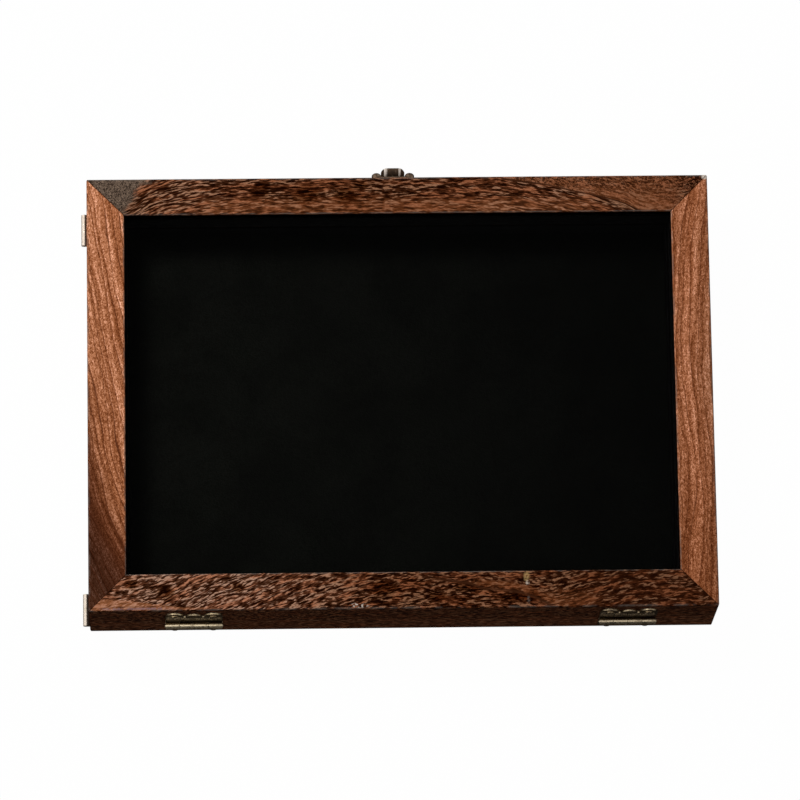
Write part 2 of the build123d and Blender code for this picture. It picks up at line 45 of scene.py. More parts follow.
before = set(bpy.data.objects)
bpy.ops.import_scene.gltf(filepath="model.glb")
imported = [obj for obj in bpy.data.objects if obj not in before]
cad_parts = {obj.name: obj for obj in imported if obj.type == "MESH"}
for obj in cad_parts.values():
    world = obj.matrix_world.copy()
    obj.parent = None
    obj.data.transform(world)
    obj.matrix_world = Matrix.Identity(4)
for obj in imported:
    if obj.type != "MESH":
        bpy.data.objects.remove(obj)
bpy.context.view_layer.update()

# Shapes are worked out in millimetres and placed in metres
MM = 0.001
ROUND_STEPS = 28
# Edges that turn by more than this stay sharp
SHARP_ANGLE = math.radians(35.0)

# The case: half its length and width, its height, where its lid starts and the width
# of its members
HALF_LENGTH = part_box("lid_stile_right")[1][0] / MM
HALF_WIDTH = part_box("lid_rail_clasp_side")[1][1] / MM
CASE_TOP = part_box("lid_rail_clasp_side")[1][2] / MM
LID_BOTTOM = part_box("lid_rail_clasp_side")[0][2] / MM
MEMBER = HALF_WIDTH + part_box("lid_rail_hinge_side")[1][1] / MM


# Shader sums


class Link:
    """One output of a node, so that sums of outputs read as sums."""

    def __init__(self, nodes, socket):
        self.nodes = nodes
        self.socket = socket

    def __add__(self, other):
        return self.nodes.sum("ADD", self, other)

    def __sub__(self, other):
        return self.nodes.sum("SUBTRACT", self, other)

    def __rsub__(self, other):
        return self.nodes.sum("SUBTRACT", other, self)

    def __mul__(self, other):
        return self.nodes.sum("MULTIPLY", self, other)

    def __truediv__(self, other):
        return self.nodes.sum("DIVIDE", self, other)

    def __neg__(self):
        return self.nodes.sum("MULTIPLY", self, -1.0)

    def __abs__(self):
        return self.nodes.sum("ABSOLUTE", self)

    __radd__ = __add__
    __rmul__ = __mul__


class Nodes:
    """The node tree of a material or of the world."""

    def __init__(self, tree):
        self.tree = tree
        tree.nodes.clear()

    def node(self, kind, settings=None, sockets=None, output=0):
        """A node with its settings, then its sockets' values or links."""
        node = self.tree.nodes.new(kind)
        for name, value in (settings or {}).items():
            if name == "stops":
                self.set_stops(node.color_ramp.elements, value)
            elif name == "curve":
                self.set_curve(node.mapping, value)
            else:
                setattr(node, name, value)
        for name, value in (sockets or {}).items():
            self.feed(node.inputs[name], value)
        return Link(self, node.outputs[output])

    @staticmethod
    def set_stops(elements, stops):
        while len(elements) < len(stops):
            elements.new(1.0)
        for element, (place, colour) in zip(elements, stops):
            element.position = place
            element.color = (*colour, 1.0)

    @staticmethod
    def set_curve(mapping, points):
        curve = mapping.curves[0].points
        while len(curve) < len(points):
            curve.new(1.0, 1.0)
        for point, place in zip(curve, points):
            point.location = place
        mapping.update()

    def feed(self, socket, value):
        if isinstance(value, Link):
            self.tree.links.new(value.socket, socket)
        elif socket.type == "RGBA" and len(value) == 3:
            socket.default_value = (*value, 1.0)
        else:
            socket.default_value = value

    def finish_with(self, kind, surface):
        """Ends the tree with an output of some kind."""
        out = self.tree.nodes.new(kind)
        self.feed(out.inputs["Surface"], surface)

    def sum(self, operation, first, second=0.0):
        return self.node("ShaderNodeMath", {"operation": operation}, {0: first, 1: second})

    def larger(self, first, second):
        return self.sum("MAXIMUM", first, second)

    def split(self, coordinates):
        """X, Y and Z of some texture coordinates."""
        spot = self.node("ShaderNodeTexCoord", output=coordinates)
        parts = self.node("ShaderNodeSeparateXYZ", sockets={0: spot}).socket.node
        return [Link(self, out) for out in parts.outputs]

    def place(self):
        """Millimetres along X, Y and Z on the piece at rest."""
        return [value / MM for value in self.split("Object")]

    def point(self, x, y, z):
        return self.node("ShaderNodeCombineXYZ", sockets={0: x, 1: y, 2: z})

    def noise(self, spot, size, detail=2.0, roughness=0.5, distortion=0.0, move=(0, 0, 0)):
        """Noise whose blotches have a size in millimetres, or one for each of the three
        parts of the spot; move shifts the pattern."""
        sizes = size if isinstance(size, tuple) else (size, size, size)
        scaled = [value / width for value, width in zip(spot, sizes)]
        scaled = [value + step if step else value for value, step in zip(scaled, move)]
        sockets = {
            "Vector": self.point(*scaled),
            "Scale": 1.0,
            "Detail": detail,
            "Roughness": roughness,
            "Distortion": distortion,
        }
        return self.node("ShaderNodeTexNoise", sockets=sockets)

    def step(self, value, low, high, start=0.0, end=1.0):
        """Soft step from start to end as value goes from low to high."""
        settings = {"interpolation_type": "SMOOTHSTEP"}
        names = ("Value", "From Min", "From Max", "To Min", "To Max")
        return self.node(
            "ShaderNodeMapRange", settings, dict(zip(names, (value, low, high, start, end)))
        )

    def band(self, value, low, high, soft):
        """1 between low and high, falling to 0 over soft on either side."""
        return self.step(value, low - soft, low + soft) * self.step(value, high + soft, high - soft)

    def spot(self, x, y, centre, reach):
        """1 at a centre, falling to 0 at an ellipse's edge."""
        across = (x - centre[0]) / reach[0]
        along = (y - centre[1]) / reach[1]
        return self.step(across * across + along * along, 1.0, 0.1)

    def mix(self, share, first, second, blend="MIX"):
        settings = {"data_type": "RGBA", "blend_type": blend}
        return self.node("ShaderNodeMix", settings, {0: share, 6: first, 7: second}, 2)

    def layered(self, colour, *layers):
        """Lays tints over a colour, each by the share that comes with it."""
        for share, tint in layers:
            colour = self.mix(share, colour, tint)
        return colour

    def tinted(self, colour, level):
        """A colour at a level."""
        return self.mix(1.0, colour, self.point(level, level, level), "MULTIPLY")

    def shaded(self, colour, level):
        """A wood colour at a level: its shade turns redder and its light paler."""
        tint = self.point(level, self.sum("POWER", level, 1.35), self.sum("POWER", level, 1.8))
        return self.mix(1.0, colour, tint, "MULTIPLY")

    def curve(self, value, points, low, high):
        """Smooth curve through points, for a value between the ends of the points;
        its heights lie between low and high."""
        start, end = points[0][0], points[-1][0]
        scaled = [((x - start) / (end - start), (y - low) / (high - low)) for x, y in points]
        place = (value - start) / (end - start)
        drawn = self.node("ShaderNodeFloatCurve", {"curve": scaled}, {"Value": place})
        return drawn * (high - low) + low

    def bump(self, height, depth, strength):
        """Normal of a height from 0 to 1 that is depth millimetres tall."""
        sockets = {"Height": height, "Distance": depth * MM, "Strength": strength}
        return self.node("ShaderNodeBump", sockets=sockets)


class Finish(Nodes):
    """A material of the object, with constants for its surface's sockets."""

    def __init__(self, name, **constants):
        self.material = bpy.data.materials.new(name)
        self.material.use_nodes = True
        super().__init__(self.material.node_tree)
        self.surface = self.node("ShaderNodeBsdfPrincipled", sockets=constants)

    def wear(self, **sockets):
        """Feeds sockets of the surface, with spaces for underlines."""
        for name, value in sockets.items():
            self.feed(self.surface.socket.node.inputs[name.replace("_", " ")], value)

    def done(self, **sockets):
        """The material, once its last sockets are fed."""
        self.wear(**sockets)
        self.finish_with("ShaderNodeOutputMaterial", self.surface)
        return self.material


# Mesh helpers


def outline(bm, points, rounds=()):
    """A face through a few corners; rounds pairs corner numbers with radii."""
    corners = [bm.verts.new((*point, 0.0)) for point in points]
    bm.faces.new(corners)
    for numbers, radius in rounds:
        bmesh.ops.bevel(
            bm,
            geom=[corners[number] for number in numbers],
            offset=radius,
            offset_type="OFFSET",
            segments=8,
            profile=0.5,
            affect="VERTICES",
            material=-1,
            clamp_overlap=True,
        )
    bmesh.ops.remove_doubles(bm, verts=bm.verts, dist=0.001)
    return bm.faces[:]


def trace(bm, start, moves):
    """A flat face whose outline runs from a start along moves: a move is the point
    at the end of a line, or an arc's centre and the degrees it turns."""
    tip = bm.verts.new((*start, 0.0))
    for x, y, *turn in moves:
        if turn:
            made = bmesh.ops.spin(
                bm,
                geom=[tip],
                cent=(x, y, 0.0),
                axis=(0.0, 0.0, 1.0),
                angle=math.radians(turn[0]),
                steps=max(4, round(abs(turn[0]) / 12)),
            )
            tip = next(item for item in made["geom_last"] if isinstance(item, bmesh.types.BMVert))
        else:
            end = bm.verts.new((x, y, 0.0))
            bm.edges.new((tip, end))
            tip = end
    bmesh.ops.remove_doubles(bm, verts=bm.verts, dist=0.001)
    return bmesh.ops.edgeloop_fill(bm, edges=bm.edges)["faces"]


def cut(bm, along, places):
    """Cuts everything across an axis, from 0 for X to 2 for Z, at some places."""
    for place in places:
        at, normal = [0.0, 0.0, 0.0], [0.0, 0.0, 0.0]
        at[along], normal[along] = place, 1.0
        geom = bm.verts[:] + bm.edges[:] + bm.faces[:]
        bmesh.ops.bisect_plane(bm, geom=geom, plane_co=at, plane_no=normal)


def raise_faces(bm, faces, offset):
    """Extrudes a flat region by an offset and returns the moved faces."""
    made = bmesh.ops.extrude_face_region(bm, geom=faces)["geom"]
    verts = [item for item in made if isinstance(item, bmesh.types.BMVert)]
    bmesh.ops.translate(bm, verts=verts, vec=offset)
    return [item for item in made if isinstance(item, bmesh.types.BMFace)]


def soften(bm, edges, width, steps=2):
    bmesh.ops.bevel(
        bm,
        geom=edges,
        offset=width,
        offset_type="OFFSET",
        segments=steps,
        profile=0.5,
        affect="EDGES",
        material=-1,
        clamp_overlap=True,
    )


def rim(faces):
    """Edges round a set of faces."""
    inside = set(faces)
    edges = {edge for face in faces for edge in face.edges}
    return [edge for edge in edges if sum(face in inside for face in edge.link_faces) == 1]


def barrel(bm, radius, low, high, centre, rounding):
    """Cylinder along X from low to high; centre is its place across."""
    turn = Matrix.Translation(((low + high) / 2, *centre)) @ Matrix.Rotation(math.pi / 2, 4, "Y")
    made = bmesh.ops.create_cone(
        bm,
        cap_ends=True,
        cap_tris=False,
        segments=ROUND_STEPS,
        radius1=radius,
        radius2=radius,
        depth=high - low,
        matrix=turn,
    )
    caps = {face for vert in made["verts"] for face in vert.link_faces if len(face.verts) > 4}
    soften(bm, [edge for cap in caps for edge in cap.edges], rounding)


def spun(bm, profile):
    """Solid of revolution about Z through a few points of radius and height."""
    verts = [bm.verts.new((radius, 0.0, height)) for radius, height in profile]
    edges = [bm.edges.new(pair) for pair in zip(verts, verts[1:])]
    bmesh.ops.spin(
        bm,
        geom=verts + edges,
        axis=(0.0, 0.0, 1.0),
        angle=math.tau,
        steps=ROUND_STEPS,
        use_merge=True,
    )
    bmesh.ops.remove_doubles(bm, verts=bm.verts, dist=0.001)


def screw_head(bm, size, angle):
    """Domed head seated at Z = 0 with an open slot across it; size is its radius and
    height and the slot's width and depth."""
    radius, height, slot_width, slot_depth = size
    arc = [math.radians(turn) for turn in (0, 12, 25, 40, 56, 73)]
    dome = [(radius * math.cos(turn), height * (0.25 + 0.75 * math.sin(turn))) for turn in arc]
    spun(bm, [(0.0, -0.3), (radius * 0.98, -0.3), (radius * 1.0, 0.05), *dome, (0.0, height)])
    floor = height - slot_depth
    cut(bm, 1, (-slot_width / 2, slot_width / 2))
    cut(bm, 2, (floor,))
    within = [
        face
        for face in bm.faces
        if abs(face.calc_center_median().y) < slot_width / 2
        and face.calc_center_median().z > floor
    ]
    for face in raise_faces(bm, within, (0, 0, 0)):
        for vert in face.verts:
            vert.co.z = floor
    bmesh.ops.remove_doubles(bm, verts=bm.verts, dist=0.002)
    bmesh.ops.rotate(bm, verts=bm.verts, matrix=Matrix.Rotation(math.radians(angle), 3, "Z"))


def merged(parts):
    """One mesh of several, each made by a function and then placed."""
    whole = bmesh.new()
    for make, place in parts:
        part = bmesh.new()
        make(part)
        part.transform(place)
        bmesh.ops.recalc_face_normals(part, faces=part.faces)
        mesh = bpy.data.meshes.new("part")
        part.to_mesh(mesh)
        part.free()
        whole.from_mesh(mesh)
        bpy.data.meshes.remove(mesh)
    return whole


def seat(bm, node, body, material, place):
    """Turns a mesh in millimetres into a brass piece on a body, in place of a CAD node."""
    name = f"{node}_brass"
    bm.transform(Matrix.Scale(MM, 4) @ place)
    mesh = bpy.data.meshes.new(name)
    bm.to_mesh(mesh)
    bm.free()
    mesh.set_sharp_from_angle(angle=SHARP_ANGLE)
    for polygon in mesh.polygons:
        polygon.use_smooth = True
    piece = bpy.data.objects.new(name, mesh)
    bpy.context.scene.collection.objects.link(piece)
    mesh.materials.append(material)
    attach(piece, body)
    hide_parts(node)


def wall_place(side, x=0.0, height=0.0):
    """Frame on an outer wall in millimetres: x along the wall, y up, z outward."""
    turn = 1 if side == "hinge" else -1
    place = Matrix(((turn, 0, 0), (0, 0, -turn), (0, 1, 0))).to_4x4()
    place.translation = (x, -turn * HALF_WIDTH, height)
    return place


def dress(nodes, material):
    """Gives CAD nodes a finish."""
    for name in nodes:
        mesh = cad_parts[name].data
        mesh.materials.clear()
        mesh.materials.append(material)


# Finishes of the wood

# Matt wood, with a faint coat of wax where Coat Weight is fed
WAXED = {"Specular IOR Level": 0.0, "Coat Roughness": 0.38, "Coat IOR": 1.45}
# Share of a pale tint on the faces that don't look up: painted light that lifts their colour in
# shade
SIDE_PAINTED_LIGHT = 0.034


def rail_colour(finish, wood, x, v, z, warmth, shade, depth=1.0, wave=1.0):
    """Reddish ground with short wavy pale flecks and dark gaps; v runs across them.
    Warmth turns it orange, shade darkens it, depth is its contrast and wave is how
    far the flecks wander."""
    length, width = wood.fleck_length / MM, wood.fleck_width / MM
    sway = finish.noise((x, v, z), (11, 4, 4), 1.0) - 0.5
    ripple = finish.noise((x, v, z), (3.0, 1.6, 1.6), 1.0, move=(5.0, 0, 0)) - 0.5
    across = v + (3.0 * sway + 1.3 * ripple) * wave
    flecks = finish.noise((x, across, z), (length, width, width), 1.0, 0.5, 0.2)
    veins = finish.noise((x, across, z), (12, 2.4, 2.4), 1.0, move=(9.0, 0, 0))
    fibre = finish.noise((x, v, z), (1.2, 0.3, 0.3), 2.0, move=(0, 0, 4.0))
    pale = finish.layered(
        wood.fleck,
        (finish.step(veins, 0.46, 0.62), wood.fleck_warm),
        (warmth * 0.6, wood.fleck_warm),
    )
    gaps = finish.step(flecks, 0.47, 0.38) * depth
    colour = finish.layered(
        wood.vein,
        (finish.step(veins, 0.36, 0.6), wood.ground),
        (warmth, wood.warm),
        (gaps * (1.0 - warmth * 0.5), wood.pore),
        (finish.step(flecks, 0.52, 0.62) * depth, pale),
    )
    colour = finish.shaded(colour, finish.step(fibre, 0.25, 0.75, 0.68, 1.32) * shade)
    height = finish.step(flecks, 0.3, 0.7) * 0.6 + fibre * 0.4
    return colour, height


def dark_patches(finish, x, across, patches):
    """Share of light left by dark patches, each a centre and its reach."""
    shade = 1.0
    for cx, cy, rx, ry in patches:
        shade = (1.0 - finish.spot(x, across, (cx, cy), (rx, ry)) * 0.6) * shade
    return shade


def mitre_line(finish, x, y):
    """1 in the thin joint where two members meet at a corner."""
    off = abs(abs(x) - abs(y) - (HALF_LENGTH - HALF_WIDTH))
    return finish.step(off, 0.34, 0.1)


def from_window(finish, x, y):
    """Millimetres outward from the window's edge."""
    return finish.larger(abs(x) - (HALF_LENGTH - MEMBER), abs(y) - (HALF_WIDTH - MEMBER))


def wood_surface(finish, wood, colour, height, x, y, z):
    """Feeds a wood finish: joints, chips, rubbed and bruised outer arrises that also carry a
    painted highlight, a painted highlight on the window's arris, painted light on the faces that
    don't look up, the lip round the window painted near black as its shade, sheen and relief."""
    rub = finish.noise((x, y, z), 6, 3.0)
    window = from_window(finish, x, y)
    outer = finish.larger(abs(x) - HALF_LENGTH, abs(y) - HALF_WIDTH)
    top = finish.step(z, CASE_TOP - 1.0, CASE_TOP - 0.2)
    # Painted highlight: a pale line along the window's arris where it catches the light, broken up
    # by a rub noise
    window_arris_highlight = finish.band(window, 0.12, 0.55, 0.2) * finish.step(z, CASE_TOP - 1.2, CASE_TOP - 0.5)
    # Pale bruising on the outer arris of the top, which also stands in for a painted highlight on
    # that arris
    bruised_and_highlit = finish.step(outer, -1.3, -0.3) * top
    chip = finish.spot(x, y, (HALF_LENGTH - 1.2, HALF_WIDTH - 1.0), (2.0, 1.7)) * top
    joint = mitre_line(finish, x, y)
    # Painted shade: the window's inner lip, below the top, is painted near black
    lip = finish.step(window, 0.3, 0.12) * finish.step(z, CASE_TOP - 0.8, CASE_TOP - 1.3)
    colour = finish.layered(
        colour,
        (window_arris_highlight * finish.step(rub, 0.36, 0.6) * 0.6, wood.arris),
        # Painted light: a pale tint on the faces that don't look up
        ((1.0 - top) * SIDE_PAINTED_LIGHT, wood.arris),
        (bruised_and_highlit * finish.step(rub, 0.4, 0.65) * 0.45, wood.arris),
        (chip * finish.step(rub, 0.3, 0.5), wood.chip),
        (joint * 0.85, wood.pore),
        (lip, wood.lip),
    )
    wax = finish.step(z, CASE_TOP - 1.2, CASE_TOP - 0.4) * finish.step(height, 0.2, 0.8, 0.0, 0.05)
    return finish.done(
        Base_Color=colour,
        Roughness=finish.step(height, 0.2, 0.8, 0.68, 0.52),
        Coat_Weight=wax,
        Normal=finish.bump(height - joint, 0.12, 0.6),
    )


# How far the streaks have moved across a rail, along X
RAIL_SWEEPS = {
    "clasp_side": [
        (-150, 0), (-130, 10), (-108, 19), (-92, 21.5), (0, 23), (30, 21.5), (55, 19.6), (70, 16.8),
        (85, 13.6), (100, 10.1), (110, 7.5), (118, 3.8), (130, 2.5), (150, 6),
    ],
    "hinge_side": [
        (-150, 0), (-128, 4), (-85, 20), (-20, 40), (0, 43), (30, 45), (50, 45), (66, 44),
        (76, 45), (90, 48), (110, 52), (150, 55),
    ],
}
# The dark line of a rail: millimetres from its outer edge or from the window, along X
RAIL_LINES = {
    "clasp_side": [
        (50, 1), (60, 2.5), (70, 4), (75, 5), (85, 7.5), (95, 9.7), (102, 11.5), (107, 13),
        (112, 15), (117.5, 18), (122, 21),
    ],
    "hinge_side": [
        (0, 1.5), (12, 3), (25, 4.6), (32, 6), (38, 8.2), (45, 8.8), (53, 9.8), (60, 11.8),
        (66, 14.5), (71, 17.5), (78, 21),
    ],
}


def clasp_rail_wood(wood):
    """Lid rail on the clasp side: flecks that lean over along its length, with a dark
    line that curves down to the window near the right end."""
    finish = Finish("clasp_rail_wood", **WAXED)
    x, y, z = finish.place()
    sweep = finish.curve(x, RAIL_SWEEPS["clasp_side"], -5, 60)
    across = HALF_WIDTH - y
    v = -across - sweep
    past = finish.curve(x, RAIL_LINES["clasp_side"], 0, 22) - across
    beyond = finish.step(past, -0.3, 0.5) * finish.step(x, 44, 60)
    warm_edge = finish.band(x, -95, 95, 10) * finish.step(across, 8, 13)
    warmth = finish.larger(beyond * finish.step(x, 142, 130) * 0.7, warm_edge * 0.6)
    patches = [(-66, 6, 5, 5), (-44, 8, 8, 6), (-25, 9, 7, 6), (-18, 4, 5, 3), (147, 3, 8, 7)]
    shade = dark_patches(finish, x, across, patches)
    shade = shade * finish.step(abs(x + 10), 30, 90, 0.76, 0.9) * finish.step(x, 80, 115, 1.0, 0.87)
    depth = 1.0 - beyond * 0.3
    colour, height = rail_colour(finish, wood, x * 0.75, v, z, warmth, shade, depth, 0.6)
    curls = finish.noise((x, v, z), (1.1, 0.7, 0.7), 2.0, 0.6, 1.0)
    specks = beyond * finish.step(across, 11, 3) * finish.step(curls, 0.52, 0.44)
    seam = finish.band(past, -0.4, 0.3, 0.25) * finish.band(x, 52, 119, 3)
    squiggle = finish.noise((x, y, z), 0.8, 1.0, 0.5, 1.2)
    strands = finish.step(abs(squiggle - 0.5), 0.09, 0.02)
    swirl = finish.mix(strands, wood.pebble_dark, wood.pebble_pale)
    ragged = finish.noise((x, y, z), 4, 2.0) * 12.0 - 6.0
    down = (CASE_TOP - z) * 1.8
    colour = finish.layered(
        colour,
        (specks * 0.8, wood.pore),
        (beyond * finish.step(curls, 0.54, 0.62) * 0.6, wood.fleck_warm),
        (seam * 0.95, wood.vein),
        (finish.step(x + across * 0.75 + down + ragged, -118, -123), swirl),
    )
    return wood_surface(finish, wood, colour, height, x, y, z)


def hinge_rail_wood(wood):
    """Lid rail on the hinge side: crisp flecks that rise to the right, crossed by a
    lighter curved band, with a pale knot mark near the window."""
    finish = Finish("hinge_rail_wood", **WAXED)
    x, y, z = finish.place()
    sweep = finish.curve(x, RAIL_SWEEPS["hinge_side"], -5, 75)
    inner = -(HALF_WIDTH - MEMBER) - y
    v = -inner - sweep
    top_face = finish.step(y, -HALF_WIDTH + 0.2, -HALF_WIDTH + 0.7)
    above = finish.curve(x, RAIL_LINES["hinge_side"], 0, 22) - inner
    band = finish.band(above, 0.7, 3.8, 0.9) * finish.band(x, 34, 78, 5)
    tail = finish.band(x, 64, 92, 7) * finish.step(inner, 7, 14) * finish.step(above, 0.0, 1.0)
    border = finish.step(x, -142, -100, 12.2, 16.4)
    foot = finish.step(inner - border, -0.4, 0.6) * finish.step(x, -84, -104)
    warmth = finish.larger(finish.larger(band * 0.8, tail * 0.6), foot) * top_face
    patches = [
        (-130, 5, 4, 3), (-113, 9, 5, 4), (-79, 7, 4, 3), (-10, 8, 8, 5), (16, 12, 6, 3),
        (56, 13, 13, 3.4), (32, 8, 12, 2.6),
    ]
    shade = dark_patches(finish, x, inner, patches)
    shade = shade * finish.step(x, -75, 5, 1.23, 0.68)
    # Painted shade: the rail's outer side face is held at a constant half level, darker than its
    # top
    shade = (shade - 0.5) * top_face + 0.5
    depth = finish.step(x, 70, 100, 1.0, 0.75)
    colour, height = rail_colour(finish, wood, x, v, z, warmth, shade, depth, 0.8)
    seam = finish.band(above, -1.0, 0.3, 0.45) * finish.band(x, 12, 73, 6)
    ragged = finish.noise((x, y, z), 1.2, 2.0)
    torn = finish.step(ragged, 0.34, 0.58)
    marks = [
        ((58.5, 3.2), (1.9, 3.8), 0.7, wood.knot),
        ((58.8, 5.9), (1.2, 1.4), 0.7, wood.chip),
        ((58.2, 9.2), (1.9, 3.0), 0.5, wood.warm),
        ((59.2, 14.6), (1.0, 2.8), 0.4, wood.arris),
    ]
    knot = [
        (finish.spot(x, inner, centre, reach) * torn * share, tint)
        for centre, reach, share, tint in marks
    ]
    # A pale bruise along the outer arris near the left end, which also stands in for a painted
    # highlight there
    bruised_and_highlit = finish.band(x, -143, -112, 4)
    edge = finish.band(inner, 16.3, 17.3, 0.25) * bruised_and_highlit * finish.step(ragged, 0.36, 0.5)
    under = finish.band(inner, 15.7, 16.0, 0.25) * bruised_and_highlit
    chips = finish.spot(x, inner, (-21.5, 16.2), (5.5, 1.5)) * finish.step(ragged, 0.52, 0.58)
    colour = finish.layered(
        colour,
        (seam * 0.85, wood.vein),
        *knot,
        (edge * 0.75, wood.bruise_and_highlight),
        (under * 0.6, wood.pore),
        (chips * 0.9, wood.chip),
    )
    return wood_surface(finish, wood, colour, height, x, y, z)


def base_rail_wood(wood):
    """Base rails: straight dark grain with fine pale fibres."""
    finish = Finish("base_rail_wood", **WAXED)
    x, y, z = finish.place()
    v = y + 0.02 * x
    colour, height = rail_colour(finish, wood, x, v, z + x * 0.03, 0.1, 0.64, 0.8, 0.5)
    return wood_surface(finish, wood, colour, height, x, y, z)


# Sweep is how far a stile's growth lines have moved outward along Y; tones colour the
# wood across a span of the lines, which have a ring depth; fade is the level at the
# hinge end and from the middle on, and calm evens out the dark part
STILES = {
    "left": {
        "sweep": [(-106, -9), (-87, 0), (-48, 18), (0, 27), (50, 36), (106, 46)],
        "tones": [
            (0.0, (0.05, 0.016, 0.0064)),
            (0.18, (0.041, 0.0125, 0.0052)),
            (0.33, (0.057, 0.015, 0.0053)),
            (0.42, (0.105, 0.0285, 0.0096)),
            (0.54, (0.26, 0.084, 0.0305)),
            (1.0, (0.385, 0.138, 0.058)),
        ],
        "span": (-9, 64),
        "ring_depth": 0.5,
        "fade": (1.0, 1.0),
        "calm": 0.25,
    },
    "right": {
        "sweep": [(-106, 0), (-40, 4), (0, 0), (40, 2), (90, 6), (106, 8)],
        "tones": [
            (0.0, (0.182, 0.058, 0.021)),
            (0.5, (0.247, 0.0745, 0.0262)),
            (1.0, (0.198, 0.0612, 0.0222)),
        ],
        "span": (0, 26),
        "ring_depth": 0.4,
        "fade": (0.84, 1.25),
        "calm": 0.0,
    },
}


def stile_wood(side, wood):
    """Stile with curly wood between growth lines that lean across it."""
    stile = STILES[side]
    ring_depth = stile["ring_depth"]
    finish = Finish(f"{side}_stile_wood", **WAXED)
    x, y, z = finish.place()
    outer = HALF_LENGTH - abs(x)
    lean = finish.curve(y, stile["sweep"], -20, 70)
    wobble = finish.noise((x, y, z), (9, 22, 9), 1.5) - 0.5
    v = outer + lean + wobble * 3.4
    rings = finish.noise((v, y, z), (2.6, 120, 8), 1.5, 0.6)
    spread = finish.noise((v, y, z), (7, 90, 9), 1.0, move=(7.0, 0, 0))
    growth = finish.sum("FRACT", v / 3.3 + spread * 3.0)
    strokes = finish.noise((v, y, z), (0.5, 9, 2), 2.0)
    curl = finish.noise((x, y, z), (0.55, 1.2, 0.55), 1.0, 0.5, 1.0)
    squiggle = finish.noise((x, y, z), (1.1, 2.2, 1.1), 1.0, 0.5, 1.0)
    pores = finish.noise((x, y, z), (0.28, 0.8, 0.28), 1.0)
    drift = finish.noise((v, y, z), (9, 30, 9), 1.0) - 0.5
    start, end = stile["span"]
    place = (v + drift * 6.0 - start) / (end - start)
    tone = finish.node("ShaderNodeValToRGB", {"stops": stile["tones"]}, {"Fac": place})
    level = (
        finish.step(rings, 0.32, 0.6, 1.0 - ring_depth * 0.6, 1.0 + ring_depth * 0.5)
        * finish.step(growth, 0.35, 0.97, 1.0 + ring_depth * 0.3, 1.0 - ring_depth * 0.6)
        * finish.step(curl, 0.34, 0.64, 0.6, 1.36)
        * finish.step(strokes, 0.3, 0.7, 0.84, 1.16)
        * finish.step(pores, 0.3, 0.5, 0.6, 1.1)
        * finish.step(abs(squiggle - 0.5), 0.06, 0.015, 1.0, 1.55)
        * finish.step(y, -95, 5, *stile["fade"])
    )
    calmed = finish.step(place, 0.48, 0.36) * stile["calm"]
    colour = finish.mix(calmed, finish.shaded(tone, level), tone)
    thin = finish.band(growth, 0.9, 0.97, 0.03) * finish.step(strokes, 0.3, 0.6, 0.4, 1.0)
    colour = finish.mix(thin * ring_depth * 1.8, colour, wood.ring)
    height = curl * 0.5 + finish.step(pores, 0.25, 0.5) * 0.5
    return wood_surface(finish, wood, colour, height, x, y, z)


def panel_wood(wood):
    """Plain back panel: faint straight grain with few pores."""
    finish = Finish("panel_wood", **{"Specular IOR Level": 0.2})
    x, y, z = finish.place()
    grain = finish.noise((x, y, z), (40, 1.6, 1.6), 3.0, 0.6)
    pores = finish.noise((x, y, z), (4, 0.3, 0.3), 1.0)
    level = finish.step(grain, 0.3, 0.7, 0.8, 1.15) * finish.step(pores, 0.25, 0.45, 0.75, 1.0)
    colour = finish.tinted(wood.panel, level)
    return finish.done(
        Base_Color=colour,
        Roughness=finish.step(pores, 0.3, 0.7, 0.8, 0.65),
        Normal=finish.bump(grain * 0.5 + pores * 0.5, 0.1, 0.5),
    )


# Finishes of the inside

MATT = {"Specular IOR Level": 0.05, "Roughness": 1.0}


def black_board(inside):
    """Black foam: a fine tight grain with faint cloudy patches, with painted light that is brighter
    at the left and falls off to the right.
    """
    finish = Finish("black_foam", **MATT)
    x, y, z = finish.place()
    grain = finish.noise((x, y, z), 0.7, 2.0)
    cloud = finish.noise((x, y, z), 22, 2.0)
    level = finish.step(cloud, 0.3, 0.7, 0.8, 1.2) * finish.step(grain, 0.3, 0.7, 0.6, 1.4)
    # Painted light falloff: brighter at the left, darker towards the right
    level = level * finish.step(x, -130, 140, 1.3, 0.6)
    colour = finish.tinted(inside.board, level)
    return finish.done(Base_Color=colour, Normal=finish.bump(grain, 0.15, 0.6))


def black_card(inside):
    """Matt black card: a faint fibre."""
    finish = Finish("black_card", **MATT)
    x, y, z = finish.place()
    fibre = finish.noise((x, y, z), (1.2, 1.2, 0.5), 3.0)
    level = finish.step(fibre, 0.3, 0.7, 0.7, 1.3)
    colour = finish.tinted(inside.lining, level)
    return finish.done(Base_Color=colour, Normal=finish.bump(fibre, 0.05, 0.5))


def black_paint(inside):
    """Thin black paint over wood, rubbed a little at the lower edge."""
    finish = Finish("black_paint", **{"Specular IOR Level": 0.08})
    x, y, z = finish.place()
    brushed = finish.noise((x, y, z), (5, 5, 0.5), 3.0)
    level = finish.step(brushed, 0.3, 0.7, 0.6, 1.4)
    colour = finish.tinted(inside.paint, level)
    rubbed = finish.step(z, LID_BOTTOM + 0.8, LID_BOTTOM + 0.2) * finish.step(brushed, 0.5, 0.7)
    colour = finish.mix(rubbed * 0.12, colour, inside.rubbed)
    return finish.done(
        Base_Color=colour,
        Roughness=finish.step(brushed, 0.3, 0.7, 0.95, 0.7),
        Normal=finish.bump(brushed, 0.06, 0.5),
    )


